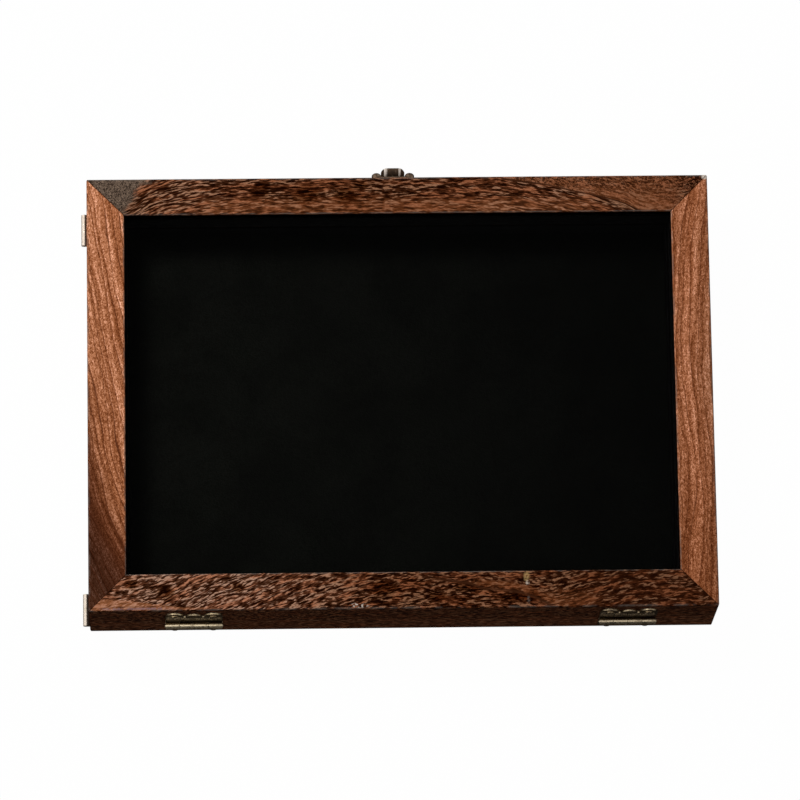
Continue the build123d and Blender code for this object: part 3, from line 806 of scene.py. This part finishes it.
def pane_glass():
    """Clear pane: lets the light through and mirrors by the Fresnel share of the side
    that the light meets first."""
    finish = Finish("pane_glass")
    x, y, z = finish.place()
    haze = finish.noise((x, y, z), 30, 3.0)
    clear = finish.node("ShaderNodeBsdfTransparent", sockets={"Color": (0.985, 0.995, 0.99)})
    mirror = finish.node(
        "ShaderNodeBsdfGlossy", sockets={"Roughness": finish.step(haze, 0.3, 0.7, 0.01, 0.035)}
    )
    inner_side = finish.node("ShaderNodeNewGeometry", output="Backfacing")
    share = finish.node("ShaderNodeFresnel", sockets={"IOR": 1.5}) * (1.0 - inner_side)
    finish.tree.nodes.remove(finish.surface.socket.node)
    finish.surface = finish.node("ShaderNodeMixShader", sockets={0: share, 1: clear, 2: mirror})
    return finish.done()


# Finishes of the metal


def rubbed_places(finish, y, thickness):
    """1 on a wall plate's edges and on what stands out from its flat face."""
    out = abs(y) - HALF_WIDTH
    edge = finish.step(out, thickness - 0.02, thickness - 0.14) * 0.3
    return finish.larger(edge, finish.step(out, thickness + 0.4, thickness + 1.5))


def worn_brass(name, colours, tarnish, roughness, shine=1.0, thickness=None, beads=None):
    """Brass with cloudy tarnish, fine scratches and small dark specks, of a base, a
    dark and a bright colour; shine is how much of it is bare metal. A thickness says
    that it is a wall plate, whose flat face is darker than its edges and whose plates right
    of the middle get a painted shade; beads gives the middle of a lip whose beads get a
    painted highlight in the bright colour. Beside the case's left wall the dark colour is
    painted on as a dark reflection."""
    base, dark, bright = colours
    finish = Finish(name, Metallic=shine)
    x, y, z = finish.place()
    cloud = finish.noise((x, y, z), 2.2, 3.0, 0.6)
    speck = finish.noise((x, y, z), 0.35, 1.0)
    scratch = finish.noise((x, y, z), (6, 0.12, 0.12), 1.0)
    colour = finish.layered(
        base,
        (finish.step(cloud, 0.35, 0.62) * tarnish, dark),
        (finish.step(cloud, 0.42, 0.3) * 0.6, bright),
    )
    if thickness:
        rubbed = rubbed_places(finish, y, thickness) * finish.step(cloud, 0.62, 0.5, 0.45, 1.0)
        # Painted shade: plates right of the middle, those of the right hinge, are darkened so that
        # their highlights look dimmer
        colour = finish.layered(
            colour, (rubbed, bright), (finish.step(x, -20, 20, 0.0, 0.35), dark)
        )
    if beads is not None:
        on_left = finish.band(x - beads, -4.2, -2.6, 0.15)
        on_right = finish.band(x - beads, 2.85, 3.95, 0.15)
        on_lip = finish.step(z, 35.5, 37.0) * finish.step(abs(y) - HALF_WIDTH, 1.3, 1.7)
        # Painted highlight: the lip's beads are painted in the bright colour and made nearly
        # non-metallic, the left bead more strongly
        bead_highlight = (on_left + on_right * 0.8) * on_lip
        colour = finish.mix(bead_highlight, colour, bright)
        finish.wear(Metallic=finish.step(bead_highlight, 0.0, 1.0, shine, 0.1))
    # Painted dark reflection: the side of a hanger next to the case's left wall is painted in the
    # dark colour; only the hangers reach beside that wall
    beside = finish.band(x, -HALF_LENGTH - 1.6, -HALF_LENGTH, 0.2) * finish.step(z, 1.6, 2.2)
    specks = finish.step(speck, 0.66, 0.74)
    colour = finish.layered(colour, (beside * 0.95, dark), (specks * 0.5, dark))
    rough = finish.step(cloud, 0.3, 0.65, roughness, roughness + 0.16)
    return finish.done(
        Base_Color=colour,
        Roughness=rough + finish.step(scratch, 0.6, 0.7) * 0.08,
        Normal=finish.bump(scratch * 0.4 + speck * 0.3 + cloud * 0.3, 0.03, 0.5),
    )


def steel_finish(metal):
    """Brads: bright steel with fine specks."""
    finish = Finish("steel", Metallic=1.0)
    x, y, z = finish.place()
    speck = finish.noise((x, y, z), 0.3, 2.0)
    colour = finish.mix(finish.step(speck, 0.5, 0.7) * 0.6, metal.steel, metal.antique_tarnish_and_shade)
    return finish.done(
        Base_Color=colour,
        Roughness=finish.step(speck, 0.3, 0.7, 0.3, 0.5),
        Normal=finish.bump(speck, 0.02, 0.5),
    )


# Settings


def colour_setting(name, description, default):
    kind = {"size": 3, "min": 0.0, "max": 1.0, "subtype": "COLOR"}
    return FloatVectorProperty(name=name, description=description, default=default, **kind)


def number_setting(name, description, default, low=0.0, **kind):
    return FloatProperty(name=name, description=description, default=default, min=low, **kind)


def length_setting(name, description, millimetres):
    return number_setting(name, description, millimetres * MM, unit="LENGTH", subtype="DISTANCE")


class WoodSettings(PropertyGroup):
    """Colours and scale of the wood."""

    ground: colour_setting("Ground", "Reddish ground of the rails", (0.08, 0.0235, 0.009))
    vein: colour_setting("Vein", "Darker veins of the rails", (0.042, 0.013, 0.005))
    pore: colour_setting("Pore", "Pores, joints and dark lines", (0.011, 0.0024, 0.0006))
    warm: colour_setting("Warm band", "Orange bands of the rails", (0.2, 0.066, 0.024))
    fleck: colour_setting("Fleck", "Pale flecks of the rails", (0.34, 0.175, 0.105))
    fleck_warm: colour_setting("Warm fleck", "Reddish flecks of the rails", (0.33, 0.125, 0.06))
    pebble_dark: colour_setting("Swirl dark", "Dark of the grey swirl", (0.02, 0.012, 0.008))
    pebble_pale: colour_setting("Swirl pale", "Pale of the grey swirl", (0.2, 0.14, 0.1))
    ring: colour_setting("Growth line", "Thin growth lines of the stiles", (0.085, 0.022, 0.009))
    knot: colour_setting("Knot mark", "Pale mark near the window", (0.4, 0.25, 0.1))
    # Pale colour of rubbed edges and of the knot mark, also used for painted highlights on the
    # arrises and for painted light on the faces that don't look up
    arris: colour_setting("Rubbed edge", "Rubbed edges of the lid", (0.17, 0.14, 0.12))
    # Bruised outer edge near a corner, which also stands in for a painted highlight on that arris
    bruise_and_highlight: colour_setting("Bruised edge", "Bruised outer edge near a corner", (0.2, 0.12, 0.13))
    chip: colour_setting("Chips", "Fresh small chips", (0.55, 0.47, 0.4))
    # Near-black colour painted on the window's inner lip as its shade
    lip: colour_setting("Window lip", "Blackened face of the window", (0.0012, 0.0006, 0.0005))
    panel: colour_setting("Back panel", "Plain back panel", (0.3, 0.2, 0.12))
    fleck_length: length_setting("Fleck length", "Length of the rails' flecks", 3.3)
    fleck_width: length_setting("Fleck width", "Width of the rails' flecks", 0.7)


class InsideSettings(PropertyGroup):
    """Colours of the inside."""

    board: colour_setting("Board", "Black foam board", (0.0025, 0.0026, 0.0021))
    lining: colour_setting("Lining", "Black card on the walls", (0.0007, 0.0005, 0.0005))
    paint: colour_setting("Paint", "Black paint of the beads", (0.0009, 0.0006, 0.0006))
    rubbed: colour_setting("Rubbed paint", "Wood that shows at rubbed edges", (0.08, 0.045, 0.03))


class MetalSettings(PropertyGroup):
    """Colours of the brass and steel, and sizes of its details."""

    antique: colour_setting("Antique brass", "Hinges and clasp", (0.34, 0.25, 0.13))
    clasp: colour_setting("Clasp brass", "Darker brass of the clasp", (0.23, 0.15, 0.09))
    # Bright colour of the clasp: its rubbed patches, and the painted highlight on the lip's beads
    clasp_rubbed_and_highlight: colour_setting("Rubbed clasp", "Beads of the clasp's lip", (0.95, 0.84, 0.74))
    # Tarnish of the brass, also painted on the right hinge as its shade
    antique_tarnish_and_shade: colour_setting("Tarnish", "Tarnish of the brass", (0.09, 0.06, 0.045))
    antique_bright: colour_setting("Worn brass", "Brass where it is rubbed", (0.62, 0.51, 0.34))
    bright: colour_setting("Bright brass", "Hangers", (0.95, 0.82, 0.69))
    # Dark of the hangers: their tarnish and specks, and the painted dark reflection on their side
    # next to the wood
    hanger_tarnish_and_dark_reflection: colour_setting("Dull brass", "Hangers beside the wood", (0.03, 0.014, 0.008))
    steel: colour_setting("Steel", "Brads", (0.55, 0.54, 0.52))
    slot_width: length_setting("Slot width", "Width of the screws' slots", 0.55)
    slot_depth: length_setting("Slot depth", "Depth of the screws' slots", 0.6)
    arris: length_setting("Edge rounding", "Rounding of the plates' edges", 0.25)


class StageSettings(PropertyGroup):
    """Camera, lamp and floor."""

    lens: number_setting("Lens", "Focal length", 0.28217, 0.02, unit="CAMERA")
    lamp_power: number_setting("Lamp", "Power of the large lamp", 18.5, unit="POWER")
    fill: number_setting("Fill", "Strength of the light from all round", 0.22)
    from_floor: number_setting("From the floor", "Strength of the light off the floor", 0.36)
    shadow: number_setting(
        "Shadow", "How much of the floor's shade shows", 0.012, max=1.0, subtype="FACTOR"
    )
    floor: colour_setting("Floor", "Plain pale floor", (0.6, 0.6, 0.6))


class BoxSettings(PropertyGroup):
    """All settings of the display box."""

    wood: PointerProperty(type=WoodSettings)
    inside: PointerProperty(type=InsideSettings)
    metal: PointerProperty(type=MetalSettings)
    stage: PointerProperty(type=StageSettings)


# Pieces


# Sizes of a hinge leaf and its roll, from the pin's axis outward; head is the radius
# and height of its screws' heads
LEAF = {
    "half": 13.65,
    "top": 18.2,
    "middle_top": 16.1,
    "middle_half": 4.1,
    "notch": 11.7,
    "lobe": 4.4,
    "thick": 0.9,
    "axis_out": 2.4,
    "knuckle": 1.99,
    "cut": 2.35,
    "pin": 0.95,
    "screw_x": 9.25,
    "screw_y": 13.8,
    "head": (2.0, 1.1),
}
# Gap between two knuckles and the cap of the pin that stands out of the last one
KNUCKLE_GAP = 0.12
PIN_CAP = 0.2
# How far a strip turns to roll into a knuckle, and the rounding's steps
ROLL_TURN = math.radians(305)
ROLL_STEPS = 22
# The turn of each hinge screw's slot, in degrees
SLOT_TURNS = {
    "hinge_left_lid_screws": (20, 75),
    "hinge_left_base_screws": (-35, 10),
    "hinge_right_lid_screws": (60, -15),
    "hinge_right_base_screws": (40, -70),
}


def antique(metal):
    """The hinges' brass, made once."""
    made = bpy.data.materials.get("antique_brass_worn")
    colours = (metal.antique, metal.antique_tarnish_and_shade, metal.antique_bright)
    return made or worn_brass("antique_brass_worn", colours, 0.75, 0.22, thickness=LEAF["thick"])


def pin_place(node):
    """Middle along X, height and half length of a pin in millimetres."""
    low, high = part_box(node)
    middle, height = ((low[axis] + high[axis]) / 2 / MM for axis in (0, 2))
    return middle, height, (high[0] - low[0]) / 2 / MM


def leaf_outline():
    """Corners of the scalloped leaf above the knuckles."""
    inner = LEAF["half"] - 2 * LEAF["lobe"]
    right = [
        (LEAF["half"], LEAF["cut"]),
        (LEAF["half"], LEAF["top"]),
        (inner, LEAF["top"]),
        (inner, LEAF["notch"]),
        (LEAF["middle_half"], LEAF["notch"]),
        (LEAF["middle_half"], LEAF["middle_top"]),
    ]
    *left, first = [(-x, y) for x, y in reversed(right)]
    return [first, *right, *left]


def leaf_plate(bm, arris):
    """The flat scalloped part of a leaf."""
    rounds = [((2, 3, 10, 11), LEAF["lobe"] - 0.01), ((6, 7), LEAF["middle_half"] - 0.01)]
    faces = outline(bm, leaf_outline(), rounds)
    front = raise_faces(bm, faces, (0, 0, LEAF["thick"]))
    soften(bm, rim(front), arris)


def roll(bm, span, plate):
    """One knuckle: a strip of a plate that is cranked out and rolled round the pin."""
    (low, high), strip = span, plate["thick"]
    out = plate["axis_out"] - plate["knuckle"]
    corners = [(low, 0.0), (high, 0.0), (high, strip), (low, strip)]
    face = bm.faces.new([bm.verts.new((x, plate["cut"] + 0.3, z)) for x, z in corners])
    faces = raise_faces(bm, [face], (0, -0.5, 0.0))
    faces = raise_faces(bm, faces, (0, 0.2 - plate["cut"], out))
    bmesh.ops.spin(
        bm,
        geom=faces + [edge for item in faces for edge in item.edges],
        cent=(0, 0, plate["axis_out"]),
        axis=(-1, 0, 0),
        angle=ROLL_TURN,
        steps=ROLL_STEPS,
    )
    bmesh.ops.remove_doubles(bm, verts=bm.verts, dist=0.001)
    buried = [item for item in bm.faces if all(len(edge.link_faces) > 2 for edge in item.edges)]
    bmesh.ops.delete(bm, geom=buried, context="FACES_ONLY")


def knuckles(own):
    """Spans of a leaf's two knuckles; own is 0 or 1 for the first."""
    pitch = 2 * LEAF["half"] / 4
    lows = [-LEAF["half"] + index * pitch for index in range(own, 4, 2)]
    return [(low + KNUCKLE_GAP, low + pitch - KNUCKLE_GAP) for low in lows]


def screw_pair(metal, fitting, height, angles):
    """Two slotted heads at a height on a fitting's plate."""
    slot_size = (metal.slot_width / MM, metal.slot_depth / MM)
    parts = []
    for side, angle in zip((-1, 1), angles):
        spot = Matrix.Translation((side * fitting["screw_x"], height, fitting["thick"]))
        parts.append((partial(screw_head, size=(*fitting["head"], *slot_size), angle=angle), spot))
    return merged(parts)


class DISPLAYBOX_OT_hinges(Operator):
    """Two scalloped brass hinges with rolled knuckles and pins"""

    bl_idname = "displaybox.hinges"
    bl_label = "Hinges"

    def execute(self, context):
        metal = context.scene.display_box.metal
        brass = antique(metal)
        still = Matrix.Identity(4)
        reach = LEAF["half"] + PIN_CAP
        for name in ("hinge_left", "hinge_right"):
            middle, height, _ = pin_place(f"{name}_pin")
            place = wall_place("hinge", middle, height)
            for body, own in (("lid", 0), ("base", 1)):
                parts = [(partial(leaf_plate, arris=metal.arris / MM), still)]
                parts += [(partial(roll, span=span, plate=LEAF), still) for span in knuckles(own)]
                bm = merged(parts)
                if body == "base":
                    bmesh.ops.scale(bm, vec=(1, -1, 1), verts=bm.verts)
                    bmesh.ops.reverse_faces(bm, faces=bm.faces)
                seat(bm, f"{name}_{body}_leaf", body, brass, place)
            bm = bmesh.new()
            barrel(bm, LEAF["pin"], -reach, reach, (0, LEAF["axis_out"]), 0.25)
            seat(bm, f"{name}_pin", "base", brass, place)
        return {"FINISHED"}


class DISPLAYBOX_OT_hinge_screws(Operator):
    """Slotted domed screws in the lobes of the hinge leaves"""

    bl_idname = "displaybox.hinge_screws"
    bl_label = "Hinge screws"

    def execute(self, context):
        metal = context.scene.display_box.metal
        for node, angles in SLOT_TURNS.items():
            name, body = node.rsplit("_", 2)[:2]
            middle, height, _ = pin_place(f"{name}_pin")
            side = 1 if body == "lid" else -1
            heads = screw_pair(metal, LEAF, side * LEAF["screw_y"], angles)
            seat(heads, node, body, antique(metal), wall_place("hinge", middle, height))
        return {"FINISHED"}


class DISPLAYBOX_OT_lid_frame(Operator):
    """Wood finish of the lid's rails and stiles"""

    bl_idname = "displaybox.lid_frame"
    bl_label = "Lid frame"

    def execute(self, context):
        wood = context.scene.display_box.wood
        dress(["lid_rail_clasp_side"], clasp_rail_wood(wood))
        dress(["lid_rail_hinge_side"], hinge_rail_wood(wood))
        for side in STILES:
            dress([f"lid_stile_{side}", f"base_stile_{side}"], stile_wood(side, wood))
        return {"FINISHED"}


class DISPLAYBOX_OT_base_frame(Operator):
    """Wood finish of the base's rails and the back panel"""

    bl_idname = "displaybox.base_frame"
    bl_label = "Base frame"

    def execute(self, context):
        wood = context.scene.display_box.wood
        dress(["base_rail_hinge_side", "base_rail_clasp_side"], base_rail_wood(wood))
        dress(["back_panel"], panel_wood(wood))
        return {"FINISHED"}


class DISPLAYBOX_OT_inside(Operator):
    """Black foam board, card linings, painted beads and the pane"""

    bl_idname = "displaybox.inside"
    bl_label = "Inside and pane"

    def execute(self, context):
        inside = context.scene.display_box.inside
        sides = ("hinge_side", "clasp_side", "left", "right")
        dress(["pinning_board"], black_board(inside))
        dress([f"wall_lining_{side}" for side in sides], black_card(inside))
        dress([f"glass_bead_{side}" for side in sides], black_paint(inside))
        dress(["glass_pane"], pane_glass())
        return {"FINISHED"}


# Sizes of the clasp, from the pin's axis outward; slot is its half width and ends, bead
# the middle, half width and height of the beads on the lip
CLASP = {
    "thick": 1.0,
    "axis_out": 2.5,
    "knuckle": 1.9,
    "knuckle_start": 3.25,
    "cut": 2.3,
    "pin": 0.8,
    "screw_x": 8.0,
    "head": (2.3, 2.2),
    "tongue_half": 5.7,
    "tongue_neck": 2.9,
    "tongue_thick": 1.1,
    "tongue_start": 2.1,
    "straight": 14.5,
    "curl_radius": 6.0,
    "tip": 21.31,
    "corner": 3.0,
    "slot": (2.6, 10.6, 14.8),
    "bead": (3.4, 0.75, 0.4),
    "nub_at": 12.7,
}
# Cuts across the tongue, on either side of its middle, for its slot and its beads
TONGUE_CUTS = (1.3, 2.3, CLASP["slot"][0], 2.75, 3.05, CLASP["bead"][0], 3.75, 4.1, 4.8)
# Nub of the catch: half length, half width of stem and head, and heights of its parts
NUB = {"half": 2, "stem": 1.15, "head": 1.5, "heights": (2.55, 0.35, 1.2), "round": 0.7}
# Node, body, height and turns of the slots of the clasp's screws
CLASP_SCREWS = (
    ("clasp_catch_screws", "lid", 42.1, (35, -20)),
    ("clasp_plate_screws", "base", 6.6, (-50, 15)),
)

# Outlines of the clasp's plates on the wall, in its own X and the case's Z
CATCH_OUTLINE = (
    (-5.8, 30.1),
    (
        (0, 30.1, 180), (5.8, 39.0), (6.5, 39.0, -90), (8, 39.7), (8, 42.1, 180), (-8, 44.5),
        (-8, 42.1, 180), (-6.5, 39.7), (-6.5, 39.0, -90), (-5.8, 30.1),
    ),
)
PLATE_OUTLINE = (
    (-5.8, 18.7),
    (
        (-5.8, 9.7), (-6.5, 9.7, -90), (-8, 9.0), (-8, 6.6, 180), (-5.28, 4.2), (0, 6.6, 131.1),
        (8, 4.2), (8, 6.6, 180), (6.5, 9.0), (6.5, 9.7, -90), (5.8, 18.7), (-5.8, 18.7),
    ),
)


def wall_plate(bm, drawing, arris):
    """Flat plate of the clasp with softened front edges."""
    front = raise_faces(bm, trace(bm, *drawing), (0, 0, CLASP["thick"]))
    soften(bm, rim(front), arris)


def nub(bm):
    """Riveted nub: a waisted stem that widens to a rounded head."""
    half, stem = NUB["half"], NUB["stem"]
    stem_height, flare_height, head_height = NUB["heights"]
    corners = ((-half, -stem), (half, -stem), (half, stem), (-half, stem))
    verts = [bm.verts.new((x, y, 0.5)) for x, y in corners]
    faces = raise_faces(bm, [bm.faces.new(verts)], (0, 0, stem_height))
    faces = raise_faces(bm, faces, (0, 0, flare_height))
    bmesh.ops.scale(bm, vec=(1.0, NUB["head"] / stem, 1.0), verts=faces[0].verts)
    faces = raise_faces(bm, faces, (0, 0, head_height))
    soften(bm, rim(faces), NUB["round"], 4)


def tongue_strap(bm):
    """Strap with rounded tip corners and a slot, whose lip curls outward and has a
    raised bead near each side."""
    half, start, tip = CLASP["tongue_half"], CLASP["tongue_start"], CLASP["tip"]
    corners = [(-half, start), (half, start), (half, tip), (-half, tip)]
    outline(bm, corners, [((2, 3), CLASP["corner"])])
    slot_half, slot_low, slot_high = CLASP["slot"]
    for side in (-1, 1):
        cut(bm, 0, [side * place for place in TONGUE_CUTS])
    steps = [CLASP["straight"] + 0.8 + 0.75 * number for number in range(8)]
    cut(bm, 1, (slot_low, slot_high, *steps))
    hole = [
        face
        for face in bm.faces
        if abs(face.calc_center_median().x) < slot_half
        and slot_low < face.calc_center_median().y < slot_high
    ]
    bmesh.ops.delete(bm, geom=hole, context="FACES")
    bmesh.ops.translate(bm, verts=bm.verts, vec=(0, 0, -CLASP["tongue_thick"] / 2))
    front = raise_faces(bm, bm.faces[:], (0, 0, CLASP["tongue_thick"]))
    soften(bm, rim(front), 0.22)
    for vert in bm.verts:
        curl(vert, slot_high)


def curl(vert, beads_from):
    """Moves a point of the flat strap onto the curled lip and its beads, which start
    at a distance from the axis."""
    x, y, height = vert.co
    middle, half, rise = CLASP["bead"]
    if height < 0.0:
        lip = min(max((y - beads_from) / 1.5, 0.0), 1.0)
        height += rise * lip * (1.0 - max(0.0, 1.0 - ((abs(x) - middle) / half) ** 2))
    turn = max(y - CLASP["straight"], 0.0) / CLASP["curl_radius"]
    reach = CLASP["curl_radius"] - height
    vert.co.y = min(y, CLASP["straight"]) + reach * math.sin(turn)
    vert.co.z = CLASP["curl_radius"] - reach * math.cos(turn)


def tongue_eye(bm):
    """Rolled eye of the tongue with the neck that joins it to the strap."""
    neck, half = CLASP["tongue_neck"], CLASP["tongue_thick"] / 2
    barrel(bm, CLASP["knuckle"], -neck, neck, (0, 0), 0.2)
    corners = [(-neck, -half), (neck, -half), (neck, half), (-neck, half)]
    face = bm.faces.new([bm.verts.new((x, 1.4, z)) for x, z in corners])
    raise_faces(bm, [face], (0, 1.4, 0))


class DISPLAYBOX_OT_clasp(Operator):
    """Brass clasp: plate, catch plate with its nub, tongue, pin and screws"""

    bl_idname = "displaybox.clasp"
    bl_label = "Clasp"

    def execute(self, context):
        metal = context.scene.display_box.metal
        arris = metal.arris / MM
        middle, axis, reach = pin_place("clasp_pin")
        colours = (metal.clasp, metal.antique_tarnish_and_shade, metal.clasp_rubbed_and_highlight)
        brass = worn_brass("clasp_brass", colours, 0.8, 0.3, shine=0.7, beads=middle)
        place = wall_place("clasp", middle)
        still = Matrix.Identity(4)
        at_nub = Matrix.Translation((0, axis + CLASP["nub_at"], 0))
        under = Matrix.Translation((0, axis, 0)) @ Matrix.Diagonal((1, -1, 1, 1))
        on_axis = Matrix.Translation((0, axis, CLASP["axis_out"]))
        start, end = CLASP["knuckle_start"], CLASP["tongue_half"]
        catch, plate = (
            (partial(wall_plate, drawing=drawing, arris=arris), still)
            for drawing in (CATCH_OUTLINE, PLATE_OUTLINE)
        )
        rolls = [
            (partial(roll, span=span, plate=CLASP), under)
            for span in ((-end, -start), (start, end))
        ]
        fittings = (
            ("clasp_catch_plate", "lid", [catch, (nub, at_nub)]),
            ("clasp_plate", "base", [plate, *rolls]),
            ("clasp_tongue", "clasp_tongue", [(tongue_strap, on_axis), (tongue_eye, on_axis)]),
        )
        for node, body, parts in fittings:
            seat(merged(parts), node, body, brass, place)
        pin = bmesh.new()
        barrel(pin, CLASP["pin"], -reach, reach, (axis, CLASP["axis_out"]), 0.2)
        seat(pin, "clasp_pin", "base", brass, place)
        for node, body, height, angles in CLASP_SCREWS:
            seat(screw_pair(metal, CLASP, height, angles), node, body, brass, place)
        return {"FINISHED"}


class DISPLAYBOX_OT_hangers(Operator):
    """Finish of the hangers and of the brads"""

    bl_idname = "displaybox.hangers"
    bl_label = "Hangers and brads"

    def execute(self, context):
        metal = context.scene.display_box.metal
        colours = (metal.bright, metal.hanger_tarnish_and_dark_reflection, metal.antique_bright)
        brass = worn_brass("hanger_brass", colours, 0.1, 0.25, shine=0.5)
        dress(["hanger_upper", "hanger_lower", "hanger_screws"], brass)
        dress(["back_panel_brads", "base_corner_brads"], steel_finish(metal))
        return {"FINISHED"}


# The lamp's direction, distance and size, and the camera's place and axes, in metres
LAMP_TOWARDS = Vector((-0.41, 0.41, 1.0)).normalized()
LAMP_DISTANCE = 1.5
LAMP_SIZE = 0.4
CAMERA_AT = Matrix.Translation((-0.0979, -0.71217, 2.96357))
CAMERA_AXES = Matrix(
    ((0.99943, 0.00912, -0.03245), (-0.01652, 0.97169, -0.23566), (0.02939, 0.23606, 0.97129))
)
# The floor lies a little under the case, so that it doesn't cut into the back
FLOOR_DROP = 0.0003
FLOOR_HALF = 6.0
WHITE = (1.0, 1.0, 1.0)


def rays(nodes):
    """1 for rays that see the plain white backdrop, and 1 for mirrored ones."""
    path = nodes.node("ShaderNodeLightPath").socket.node
    names = ("Is Camera Ray", "Is Transmission Ray", "Is Glossy Ray")
    camera, through, mirrored = (Link(nodes, path.outputs[name]) for name in names)
    return nodes.larger(camera, through), mirrored


def pale_floor(stage):
    """Plain floor that looks white, is dim in mirrors and is clear from below."""
    constants = {"Base Color": stage.floor, "Roughness": 1.0, "Specular IOR Level": 0.0}
    finish = Finish("pale_floor", **constants)
    seen, mirrored = rays(finish)
    share = seen * (1.0 - stage.shadow)
    glow = finish.node("ShaderNodeEmission", sockets={"Color": WHITE, "Strength": 1.0})
    dim = finish.node("ShaderNodeBsdfDiffuse", sockets={"Color": (0.06, 0.05, 0.04)})
    underside = finish.node("ShaderNodeNewGeometry", output="Backfacing")
    clear = finish.node("ShaderNodeBsdfTransparent")
    for share, shader in ((share, glow), (mirrored, dim), (underside, clear)):
        sockets = {0: share, 1: finish.surface, 2: shader}
        finish.surface = finish.node("ShaderNodeMixShader", sockets=sockets)
    return finish.done()


class DISPLAYBOX_OT_stage(Operator):
    """Pale floor, soft lamp, surrounding light and camera"""

    bl_idname = "displaybox.stage"
    bl_label = "Stage"

    def execute(self, context):
        scene, stage = context.scene, context.scene.display_box.stage
        self.make_floor(scene, stage)
        self.make_lamp(scene, stage)
        self.make_surround(scene, stage)
        self.make_camera(scene, stage)
        scene.view_settings.view_transform = "Standard"
        return {"FINISHED"}

    @staticmethod
    def make_floor(scene, stage):
        bm = bmesh.new()
        place = Matrix.Translation((0.0, 0.0, -FLOOR_DROP))
        bmesh.ops.create_grid(bm, x_segments=1, y_segments=1, size=FLOOR_HALF, matrix=place)
        mesh = bpy.data.meshes.new("floor")
        bm.to_mesh(mesh)
        bm.free()
        mesh.materials.append(pale_floor(stage))
        floor = bpy.data.objects.new("floor", mesh)
        scene.collection.objects.link(floor)
        floor.visible_diffuse = False
        floor.visible_shadow = False

    @staticmethod
    def make_lamp(scene, stage):
        data = bpy.data.lights.new("large_lamp", "AREA")
        data.shape = "SQUARE"
        data.size = LAMP_SIZE
        data.energy = stage.lamp_power
        lamp = bpy.data.objects.new("large_lamp", data)
        lamp.location = LAMP_TOWARDS * LAMP_DISTANCE
        lamp.rotation_euler = LAMP_TOWARDS.to_track_quat("Z", "Y").to_euler()
        lamp.visible_glossy = False
        scene.collection.objects.link(lamp)

    @staticmethod
    def make_surround(scene, stage):
        """White to the camera; mirrored as a soft box on each side and one above; to
        the rest an even light from above and another from below."""
        world = bpy.data.worlds.new("surround")
        world.use_nodes = True
        scene.world = world
        nodes = Nodes(world.node_tree)
        seen, glossy = rays(nodes)
        across, along, up = nodes.split("Generated")
        sides = nodes.step(across, -0.12, -0.4) + nodes.step(across, 0.4, 0.8) * 0.8
        overhead = nodes.band(along, -0.45, 0.04, 0.08) * nodes.step(up, 0.8, 0.88) * 1.5
        mirrored = nodes.step(up, 0.1, 0.8, 0.06, 0.015) + sides + overhead
        fill = nodes.step(up, 0.02, -0.02, stage.fill, stage.from_floor)
        level = nodes.larger(seen, glossy * mirrored + (1.0 - glossy) * fill)
        sockets = {"Color": WHITE, "Strength": level}
        light = nodes.node("ShaderNodeBackground", sockets=sockets)
        nodes.finish_with("ShaderNodeOutputWorld", light)

    @staticmethod
    def make_camera(scene, stage):
        data = bpy.data.cameras.new("camera")
        data.sensor_fit = "HORIZONTAL"
        data.sensor_width = 36.0
        data.lens = stage.lens / MM
        data.clip_end = 50.0
        camera = bpy.data.objects.new("camera", data)
        camera.matrix_world = CAMERA_AT @ CAMERA_AXES.to_4x4()
        scene.collection.objects.link(camera)
        scene.camera = camera


class DISPLAYBOX_PT_sidebar(Panel):
    """Lists the pieces of the display box"""

    bl_idname = "DISPLAYBOX_PT_sidebar"
    bl_label = "Display Box"
    bl_space_type = "VIEW_3D"
    bl_region_type = "UI"
    bl_category = "Display Box"

    def draw(self, context):
        for step in STEPS:
            self.layout.operator(step.bl_idname)


STEPS = (
    DISPLAYBOX_OT_stage,
    DISPLAYBOX_OT_lid_frame,
    DISPLAYBOX_OT_base_frame,
    DISPLAYBOX_OT_inside,
    DISPLAYBOX_OT_hinges,
    DISPLAYBOX_OT_hinge_screws,
    DISPLAYBOX_OT_clasp,
    DISPLAYBOX_OT_hangers,
)
CLASSES = (
    WoodSettings,
    InsideSettings,
    MetalSettings,
    StageSettings,
    BoxSettings,
    *STEPS,
    DISPLAYBOX_PT_sidebar,
)


def register():
    for cls in CLASSES:
        bpy.utils.register_class(cls)
    bpy.types.Scene.display_box = PointerProperty(type=BoxSettings)


def unregister():
    del bpy.types.Scene.display_box
    for cls in reversed(CLASSES):
        bpy.utils.unregister_class(cls)


def main():
    register()
    for step in STEPS:
        group, name = step.bl_idname.split(".")
        getattr(getattr(bpy.ops, group), name)()


if __name__ == "__main__":
    main()
